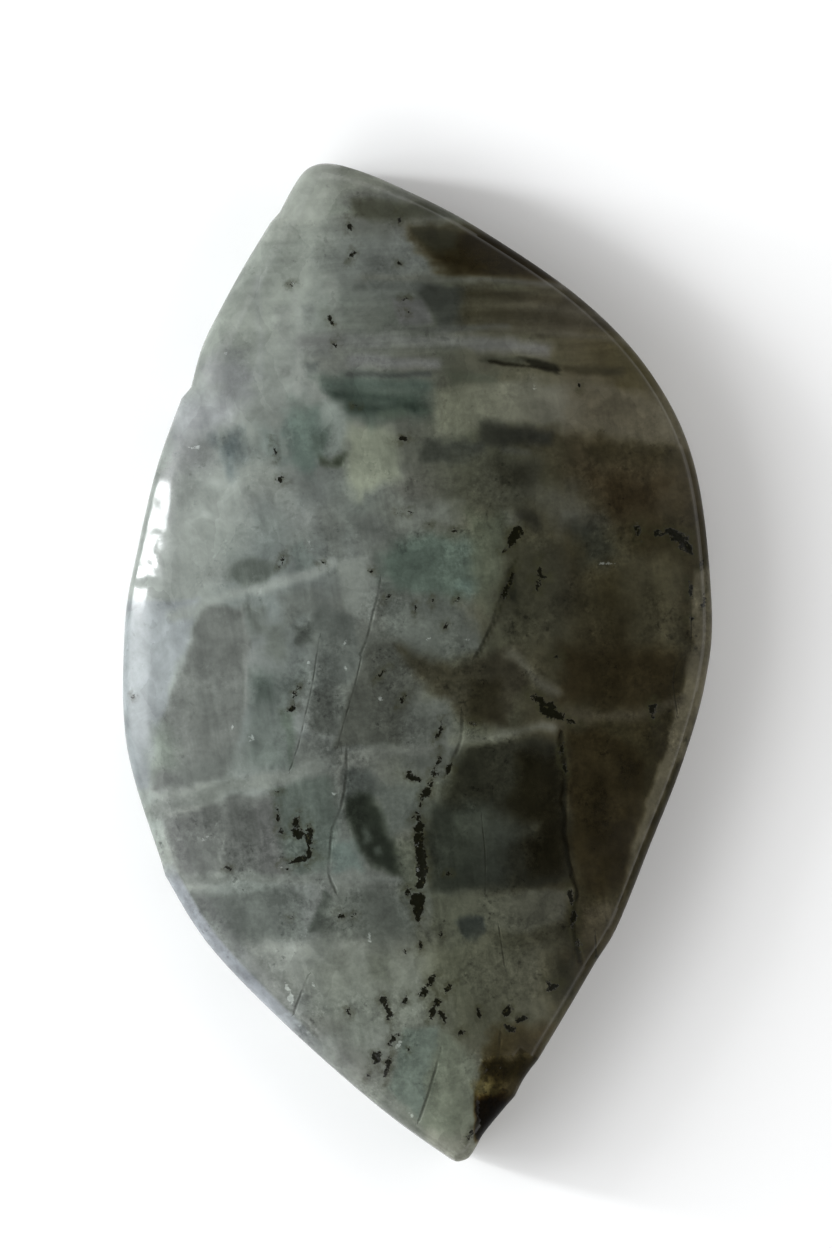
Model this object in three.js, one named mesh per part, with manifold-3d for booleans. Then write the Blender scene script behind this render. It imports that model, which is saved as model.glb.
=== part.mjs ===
import * as THREE from 'three';
import { mergeVertices } from 'three/addons/utils/BufferGeometryUtils.js';
import Module from 'manifold-3d';

// A labradorite cabochon cut freehand to a leaf shape, lying on its flat ground back.
// Millimetres, +Z up through the dome, +Y from the sharp tip to the blunt nose.

// Driving dimensions
const LENGTH = 52;
const WIDTH = 30.7;
const THICKNESS = 6.4;

// Edge of the stone, from the back up
const BACK_INSET = 0.75;
const BEVEL_INSET = 0.25;
const BEVEL_HEIGHT = 0.45;
const BELT_HEIGHT = 2.1;
const GIRDLE_HEIGHT = 3.8;
const SHOULDER_HEIGHT = 4.5;
const SHOULDER_WIDTH = 0.5;
const LEFT_SHOULDER_EXTRA = 1.5;

// Mesh: the step along the outline, the rings of the shoulder in mm in from the edge, and the rings
// of the dome as parts of the way that is left to the spine
const OUTLINE_STEP = 0.9;
const FINE_STEP = 0.3;
const SHOULDER_INSETS = [0.12, 0.45, 1.0];
const DOME_PARTS = [0.18, 0.34, 0.51, 0.68, 0.86];
const SPINE_REACH = 0.78;

// Outline seen from above, anticlockwise. Each stretch is one smooth curve, and the
// stretches meet in the small steps and nicks that the cutter left in the edge.
const RIGHT_OF_TIP = [[2.2, -26], [2.7, -25.8], [3.1, -25.2], [3.5, -24.5], [4.65, -23.1]];
const RIGHT_ABOVE_NICK = [[5.1, -22.6], [5.5, -21.8], [5.9, -21.2]];
const RIGHT_SIDE_TO_NOSE = [
  [6.3, -20.7], [8, -17.85], [9.25, -15.7], [10.45, -13.7], [12.15, -9.5], [13.8, -5.3], [15, -1.1],
  [15.35, 3], [14.5, 10.1], [12.3, 14.9], [8.6, 18.9], [3, 22.75], [-1, 24.8], [-3.4, 25.75],
  [-4.75, 26], [-5.65, 25.75], [-6.3, 25], [-7.15, 23.45],
];
const UPPER_LEFT = [[-7.6, 22.95], [-9, 20.65], [-10.15, 18.55], [-11.15, 16.5], [-11.75, 14.35]];
const LEFT_BULGE = [[-12.25, 13.75], [-13.5, 10.25], [-14.5, 6.05], [-15.2, 1.9], [-15.1, -4.35], [-13.3, -10.4]];
const LOWER_LEFT = [[-13.1, -11.1], [-10.8, -14.75], [-6.75, -18.95], [-2.05, -23.1], [1.5, -25.7], [2.2, -26]];
const STRETCHES = [
  RIGHT_OF_TIP, RIGHT_ABOVE_NICK, RIGHT_SIDE_TO_NOSE, UPPER_LEFT, LEFT_BULGE, LOWER_LEFT,
];

// Line along the middle of the leaf, from tip to nose
const SPINE = [[1.9, -25.2], [-0.2, -16.9], [-0.8, -8.5], [-0.1, 0], [0.45, 10], [-0.6, 18.5], [-4, 25]];

// Pits where dark inclusions have broken out of the polished face:
// middle x, y, then length, width, depth and the turn of the long side in degrees
const PITS = [
  { at: [-6.05, -8.6], size: [1.3, 0.8, 0.55], turn: 80 },
  { at: [-6.1, -9.7], size: [1.1, 0.8, 0.5], turn: 20 },
  { at: [6.8, -2.5], size: [1.9, 0.75, 0.4], turn: -32 },
  { at: [4.95, 6.4], size: [1.5, 0.7, 0.35], turn: 62 },
  { at: [13.6, 6.6], size: [1.3, 0.7, 0.4], turn: -35 },
  { at: [11.4, 6.8], size: [0.6, 0.5, 0.3], turn: 10 },
  { at: [12.2, -2.4], size: [0.6, 0.5, 0.3], turn: 60 },
  { at: [6.2, 4.5], size: [0.9, 0.35, 0.25], turn: 80 },
  { at: [-2.05, -20.6], size: [1.0, 0.6, 0.4], turn: 95 },
  { at: [-1.6, -21.1], size: [1.2, 0.35, 0.3], turn: 75 },
  { at: [-1.55, -17.8], size: [1.3, 0.45, 0.35], turn: 105 },
  { at: [-3.6, -18.1], size: [0.4, 0.4, 0.25], turn: 0 },
  { at: [0.4, -16.9], size: [1.2, 0.5, 0.3], turn: 55 },
  { at: [0.95, -18.2], size: [1.2, 0.5, 0.3], turn: 75 },
  { at: [3.1, -18.2], size: [0.6, 0.3, 0.25], turn: 100 },
  { at: [4.7, -18.2], size: [0.8, 0.5, 0.3], turn: 50 },
  { at: [4.85, -19.1], size: [0.7, 0.4, 0.3], turn: -20 },
  { at: [7.1, -16.7], size: [1.0, 0.5, 0.3], turn: 25 },
  { at: [2.7, -24.7], size: [0.5, 0.25, 0.25], turn: 60 },
  { at: [-4.45, 16.5], size: [0.4, 0.3, 0.25], turn: 40 },
  { at: [-4.6, 10.5], size: [1.0, 0.35, 0.25], turn: 12 },
  { at: [-0.5, -5.9], size: [0.8, 0.4, 0.3], turn: -20 },
];

// Open seam below the middle, where a chain of inclusions has weathered out
const SEAM = [[0.85, -5.4], [0.35, -6.7], [0.05, -8], [-0.1, -9.5], [0, -11.2], [-0.05, -12.6]];
const SEAM_PITS = 8;
const SEAM_PIT_SIZE = [1.25, 0.75, 0.5];

// Cracks that reach the face
const CRACKS = [
  [[-2.1, 4.3], [-2.6, 2.4], [-3.1, 0.2]],
  [[4.3, 3.2], [3.9, 1.9], [2.9, 0.3]],
  [[-4, -4], [-4, -6.5], [-4.5, -9], [-4.6, -10.9]],
];
const CRACK_RADIUS = 0.14;
const CRACK_STEPS = 8;

// Rough dark patch beside the tip, where the shoulder has chipped away:
// middle x, y, then length, width, depth and turn
const CHIPS = [
  { at: [3.95, -23.7], size: [2.6, 1.5, 1.2], turn: 60 },
  { at: [4.9, -22.5], size: [2.7, 1.7, 1.0], turn: 55 },
  { at: [3.75, -22.5], size: [2.1, 1.2, 0.5], turn: 80 },
  { at: [5.6, -21.6], size: [1.9, 1.1, 0.9], turn: 60 },
  { at: [4.5, -21.3], size: [2.0, 1.5, 0.5], turn: 40 },
];

const STONE_COLOUR = new THREE.Color().setRGB(0.35, 0.36, 0.33, THREE.SRGBColorSpace);
const STONE_ROUGHNESS = 0.2;

const wasm = await Module();
wasm.setup();

const point = ([x, y]) => new THREE.Vector2(x, y);
const smooth = (points) => new THREE.SplineCurve(points.map(point));

// A repeatable number between 0 and 1 for each whole number
function jitter(n) {
  const wave = Math.sin(n * 12.9898) * 43758.5453;
  return wave - Math.floor(wave);
}

// The outline as evenly spaced points, stretched to the stone's length and width and centred
function outlinePoints(spacing) {
  const points = [];
  for (const stretch of STRETCHES) {
    const curve = smooth(stretch);
    const steps = Math.max(2, Math.round(curve.getLength() / spacing));
    points.push(...curve.getSpacedPoints(steps));
  }
  points.pop();
  const box = new THREE.Box2().setFromPoints(points);
  const middle = box.getCenter(new THREE.Vector2());
  const stretch = new THREE.Vector2(WIDTH, LENGTH).divide(box.getSize(new THREE.Vector2()));
  return points.map((p) => p.sub(middle).multiply(stretch));
}

const OUTLINE = outlinePoints(OUTLINE_STEP);
const FINE_OUTLINE = outlinePoints(FINE_STEP);
const SPINE_CURVE = smooth(SPINE);

// Distance in from the edge of the stone
function inset(p) {
  let nearest = Infinity;
  OUTLINE.forEach((start, i) => {
    const end = OUTLINE[(i + 1) % OUTLINE.length];
    const along = end.clone().sub(start);
    const part = THREE.MathUtils.clamp(p.clone().sub(start).dot(along) / along.lengthSq(), 0, 1);
    nearest = Math.min(nearest, p.distanceTo(start.clone().addScaledVector(along, part)));
  });
  return nearest;
}

// A smooth depth inside the outline: beside a straight edge it is the distance to it, and along the
// middle it has no crease. It is the cube root of a half turn over twice the sum of step / r^4,
// where r is the distance to each step of the outline.
function smoothInset(p) {
  let sum = 0;
  FINE_OUTLINE.forEach((start, i) => {
    const end = FINE_OUTLINE[(i + 1) % FINE_OUTLINE.length];
    const r = p.distanceTo(start.clone().add(end).multiplyScalar(0.5));
    sum += start.distanceTo(end) / Math.max(r, FINE_STEP / 4) ** 4;
  });
  return Math.cbrt(Math.PI / 2 / sum);
}

const DOME_REACH = Math.max(...SPINE_CURVE.getSpacedPoints(40).map(smoothInset));

// Height of the polished face: a rounded shoulder, a quarter of an ellipse that is narrow on the
// right and widens towards the left, and on it a low dome
function faceHeight(p) {
  const depth = inset(p);
  const left = Math.max(0, -p.x / (WIDTH / 2));
  const width = SHOULDER_WIDTH + LEFT_SHOULDER_EXTRA * left;
  const round = Math.sqrt(1 - (1 - Math.min(1, depth / width)) ** 2);
  const rise = 1 - (1 - Math.min(1, smoothInset(p) / DOME_REACH)) ** 2;
  const shoulder = GIRDLE_HEIGHT + (SHOULDER_HEIGHT - GIRDLE_HEIGHT) * round;
  return shoulder + (THICKNESS - SHOULDER_HEIGHT) * rise;
}

// The point of the spine that a point of the outline shrinks towards
function spinePoint(p) {
  const along = 0.5 + (SPINE_REACH * p.y) / LENGTH;
  return SPINE_CURVE.getPointAt(THREE.MathUtils.clamp(along, 0, 1));
}

// One ring of the mesh: the outline moved in by a distance in mm, then by a part of the way that
// is left to the spine
function ring(distance, part, height) {
  return OUTLINE.map((p) => {
    const way = spinePoint(p).sub(p);
    const step = Math.min(distance / way.length(), 0.4);
    const q = p.clone().addScaledVector(way, step + (1 - step) * part);
    return new THREE.Vector3(q.x, q.y, height ?? faceHeight(q));
  });
}

// Triangles across a flat ring, from its lowest point on the page to its highest, each one joining
// on to the side that lags behind
function acrossRing(points) {
  const count = points.length;
  let left = points.reduce((low, p, i) => (p.y < points[low].y ? i : low), 0);
  let right = (left + 1) % count;
  const triangles = [];
  while (triangles.length < count - 2) {
    const nextRight = (right + 1) % count;
    const nextLeft = (left + count - 1) % count;
    const rightLags = points[nextRight].y < points[nextLeft].y;
    triangles.push([left, right, rightLags ? nextRight : nextLeft]);
    if (rightLags) right = nextRight;
    else left = nextLeft;
  }
  return triangles;
}

// The stone before it was pitted and chipped: rings from the back up to the top of the dome
function stoneBlank() {
  const lastInset = SHOULDER_INSETS.at(-1);
  const rings = [
    ring(BACK_INSET, 0, 0),
    ring(BEVEL_INSET, 0, BEVEL_HEIGHT),
    ring(0, 0, BELT_HEIGHT),
    ring(0, 0, GIRDLE_HEIGHT),
    ...SHOULDER_INSETS.map((distance) => ring(distance, 0)),
    ...DOME_PARTS.map((part) => ring(lastInset, part)),
  ];
  const count = OUTLINE.length;
  const faces = [];
  for (let level = 0; level < rings.length - 1; level += 1) {
    for (let i = 0; i < count; i += 1) {
      const next = (i + 1) % count;
      const [a, b] = [level * count + i, level * count + next];
      faces.push(a, b, b + count, a, b + count, a + count);
    }
  }
  const top = (rings.length - 1) * count;
  for (const [a, b, c] of acrossRing(rings[0])) faces.push(a, c, b);
  for (const [a, b, c] of acrossRing(rings.at(-1))) faces.push(top + a, top + b, top + c);
  const geometry = new THREE.BufferGeometry().setFromPoints(rings.flat());
  geometry.setIndex(faces);
  return geometry;
}

// A rough lump with flat facets, half sunk in the face at a place, to be cut out of the stone
function lump({ at, size, turn }, seed) {
  const geometry = new THREE.IcosahedronGeometry(1, 1);
  geometry.deleteAttribute('normal');
  geometry.deleteAttribute('uv');
  const rough = mergeVertices(geometry);
  const corners = rough.getAttribute('position');
  const corner = new THREE.Vector3();
  for (let i = 0; i < corners.count; i += 1) {
    corner.fromBufferAttribute(corners, i).multiplyScalar(0.8 + 0.35 * jitter(seed * 97 + i));
    corners.setXYZ(i, corner.x, corner.y, corner.z);
  }
  rough.scale(size[0] / 2, size[1] / 2, size[2]);
  rough.rotateZ(THREE.MathUtils.degToRad(turn));
  rough.translate(at[0], at[1], faceHeight(point(at)));
  return rough;
}

// The seam as a row of lumps, each turned along it
function seamLumps() {
  const curve = smooth(SEAM);
  const lumps = [];
  for (let i = 0; i < SEAM_PITS; i += 1) {
    const part = (i + 0.5) / SEAM_PITS;
    const p = curve.getPointAt(part);
    const turn = THREE.MathUtils.radToDeg(curve.getTangentAt(part).angle()) + 30 * (jitter(i) - 0.5);
    const size = SEAM_PIT_SIZE.map((side) => side * (0.75 + 0.5 * jitter(i + 40)));
    lumps.push(lump({ at: [p.x, p.y], size, turn }, i + 60));
  }
  return lumps;
}

// A crack as a thin six-sided rod along the face
function crackRod(points) {
  const flat = smooth(points);
  const path = new THREE.CatmullRomCurve3(
    flat.getSpacedPoints(CRACK_STEPS).map((p) => new THREE.Vector3(p.x, p.y, faceHeight(p))),
  );
  const section = new THREE.Shape(
    Array.from({ length: 6 }, (_, i) => new THREE.Vector2(CRACK_RADIUS, 0).rotateAround(
      new THREE.Vector2(), (i * Math.PI) / 3,
    )),
  );
  return new THREE.ExtrudeGeometry(section, { steps: CRACK_STEPS, extrudePath: path });
}

// A closed mesh as a solid
function solid(geometry) {
  const bare = geometry.clone();
  bare.deleteAttribute('normal');
  bare.deleteAttribute('uv');
  const merged = mergeVertices(bare);
  return new wasm.Manifold(new wasm.Mesh({
    numProp: 3,
    vertProperties: new Float32Array(merged.getAttribute('position').array),
    triVerts: new Uint32Array(merged.getIndex().array),
  }));
}

// A solid as a mesh
function mesh(body) {
  const { vertProperties, triVerts } = body.getMesh();
  const geometry = new THREE.BufferGeometry();
  geometry.setAttribute('position', new THREE.BufferAttribute(vertProperties, 3));
  geometry.setIndex(new THREE.BufferAttribute(triVerts, 1));
  return geometry;
}

// The whole stone, with its pits, seam, cracks and chipped edge cut in
function stoneGeometry() {
  const cuts = [
    ...PITS.map((pit, i) => lump(pit, i)),
    ...CHIPS.map((chip, i) => lump(chip, i + 30)),
    ...seamLumps(),
    ...CRACKS.map(crackRod),
  ];
  let body = solid(stoneBlank());
  for (const cut of cuts) body = body.subtract(solid(cut));
  return mesh(body);
}

const stone = new THREE.Mesh(
  stoneGeometry(),
  new THREE.MeshStandardMaterial({ color: STONE_COLOUR, roughness: STONE_ROUGHNESS, metalness: 0 }),
);
stone.name = 'stone';

const cabochon = new THREE.Group();
cabochon.add(stone);

export default cabochon;
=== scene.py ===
"""A labradorite cabochon cut freehand to a leaf shape, lying on its ground back, seen from above.

Lengths are in millimetres until they go into a mesh. The stone lies along Y, with its blunt nose at
+Y and its sharp tip at -Y, and its polished face looks up.
"""

from functools import partialmethod

import bpy
import numpy as np
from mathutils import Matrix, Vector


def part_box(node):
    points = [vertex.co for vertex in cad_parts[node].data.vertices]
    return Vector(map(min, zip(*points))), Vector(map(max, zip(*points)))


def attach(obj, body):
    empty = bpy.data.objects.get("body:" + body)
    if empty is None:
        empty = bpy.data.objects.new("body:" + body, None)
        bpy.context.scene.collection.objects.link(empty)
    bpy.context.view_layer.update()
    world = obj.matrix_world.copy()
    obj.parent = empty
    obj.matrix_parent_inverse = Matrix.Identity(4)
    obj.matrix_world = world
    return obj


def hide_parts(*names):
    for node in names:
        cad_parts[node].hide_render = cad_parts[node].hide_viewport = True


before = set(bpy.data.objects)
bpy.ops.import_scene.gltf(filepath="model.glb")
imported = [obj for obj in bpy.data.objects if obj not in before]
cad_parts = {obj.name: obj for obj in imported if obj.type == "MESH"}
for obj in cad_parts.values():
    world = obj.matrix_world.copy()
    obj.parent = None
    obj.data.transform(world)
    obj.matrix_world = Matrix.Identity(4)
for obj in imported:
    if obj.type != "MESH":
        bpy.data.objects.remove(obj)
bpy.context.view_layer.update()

MM = 0.001
LOWEST, HIGHEST = (np.array(corner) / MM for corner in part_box("stone"))
WIDTH, LENGTH, THICKNESS = HIGHEST - LOWEST

# The photograph: its size, and where the stone lies in it, in pixels
IMAGE_HEIGHT = 1248
IMAGE_CENTRE = (416, 624)
STONE_CENTRE = (417.5, 662.5)
STONE_LENGTH = 998
MM_PER_PIXEL = LENGTH / STONE_LENGTH

# Camera and lights. A light has an azimuth, which turns from +X to +Y, an elevation, a distance, a
# width and a height, a radiance and a colour.
CAMERA_HEIGHT = 520
SENSOR = 24
LIGHTS = {
    "left light": (190, 34, 330, (400, 300), 1.8, (0.96, 0.98, 1)),
    "bulge light": (179, 22, 330, (100, 230), 4.5, (0.94, 0.98, 1)),
    "window": (168.5, 17, 330, (32, 170), 50, (0.96, 0.98, 1)),
    "right fill": (5, 26, 360, (420, 200), 0.85, (1, 0.97, 0.93)),
    "far fill": (85, 26, 360, (420, 200), 0.85, (1, 0.99, 0.97)),
    "near fill": (290, 26, 360, (420, 200), 1, (1, 0.99, 0.97)),
}
FLOOR_SIDE = 4

# Edge of the stone, from the back up
BELT_HEIGHT = 2.1
GIRDLE_HEIGHT = 3.8
SHOULDER_HEIGHT = 4.5
SHOULDER_WIDTH = 0.5
LEFT_SHOULDER_EXTRA = 1.5
# Profile of the wall and the bevel: how far in from the outline, and the height
WALL = [
    (0, 3.6), (0, 3.3), (0, 2.9), (0, 2.5), (0.002, 2.12), (0.02, 1.9), (0.06, 1.6), (0.11, 1.2),
    (0.19, 0.8), (0.25, 0.5), (0.3, 0.4), (0.42, 0.29), (0.56, 0.17), (0.68, 0.06), (0.76, 0),
]

# Mesh: points round the outline, and rings on each part of the stone. Each ring of the shoulder
# lies up to LAST_INSET in from the outline, and those of the dome and the back close in on the
# spine, up to the share LAST_PART of the way.
AROUND = 700
BACK_RINGS = 7
SHOULDER_RINGS = 13
DOME_RINGS = 95
BEVEL_LEVELS = 4
LAST_INSET = 1
LAST_PART = 0.985
SPINE_REACH = 0.78
SPINE_STEPS = 400
POLISHED_SLOT, GROUND_SLOT, BROKEN_SLOT, WORN_SLOT = range(4)

# Outline seen from above, anticlockwise, in stretches that meet in the small steps of the edge
RIGHT_OF_TIP = [[2.2, -26], [2.7, -25.8], [3.1, -25.2], [3.5, -24.5], [4.65, -23.1]]
RIGHT_ABOVE_NICK = [[5.1, -22.6], [5.5, -21.8], [5.9, -21.2]]
RIGHT_SIDE_TO_NOSE = [
    [6.3, -20.7], [8, -17.85], [9.25, -15.7], [10.45, -13.7], [12.15, -9.5], [13.8, -5.3],
    [15, -1.1], [15.35, 3], [14.5, 10.1], [12.3, 14.9], [8.6, 18.9], [3, 22.75], [-1, 24.8],
    [-3.4, 25.75], [-4.75, 26], [-5.65, 25.75], [-6.3, 25], [-7.15, 23.45],
]
UPPER_LEFT = [[-7.6, 22.95], [-9, 20.65], [-10.15, 18.55], [-11.15, 16.5], [-11.75, 14.35]]
LEFT_BULGE = [
    [-12.25, 13.75], [-13.5, 10.25], [-14.5, 6.05], [-15.2, 1.9], [-15.1, -4.35], [-13.3, -10.4],
]
LOWER_LEFT = [
    [-13.1, -11.1], [-10.8, -14.75], [-6.75, -18.95], [-2.05, -23.1], [1.5, -25.7], [2.2, -26],
]
STRETCHES = [
    RIGHT_OF_TIP, RIGHT_ABOVE_NICK, RIGHT_SIDE_TO_NOSE, UPPER_LEFT, LEFT_BULGE, LOWER_LEFT,
]
SPINE = [[1.9, -25.2], [-0.2, -16.9], [-0.8, -8.5], [-0.1, 0], [0.45, 10], [-0.6, 18.5], [-4, 25]]

# Colour of the feldspar: its lightness, its gold, the share of blue it lacks, and its rust, the
# share of red it has over green. These are the values of the ground from left to right, at places
# along X, and what is added on the right side in the end. The fall of lightness from left to right
# is partly the stone's own colour and partly painted light from the lights on the left.
GROUND_TONE_AND_PAINTED_LIGHT = [-14, -12, -8, -4, 0, 4, 8, 12], [0.6, 0.56, 0.455, 0.4, 0.34, 0.27, 0.2, 0.18]
GROUND_GOLD = [-6, 0, 5, 10], [0.02, 0.06, 0.18, 0.3]
GROUND_RUST = [-6, 0, 5, 10], [-0.03, -0.02, 0, 0.06]
ADDED_GOLD = [2, 8], [0.023, -0.03]
ADDED_RUST = [2, 8], [-0.013, 0.014]
BODY_SHADE = 0.95
LEFT_RIM_SHADE = 0.11
# The zones of the face reach down the wall narrower and moved along Y, per mm below the girdle
NARROWING = 0.05
DIP = (0, 0.35)
# A painted reflection: a pale bluish band along the bevel of the lower left shoulder, its width and
# look
BEVEL_REFLECTION_BAND = 0.65
BEVEL_REFLECTION_LOOK = (60, -6, -2, 85)

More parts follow.
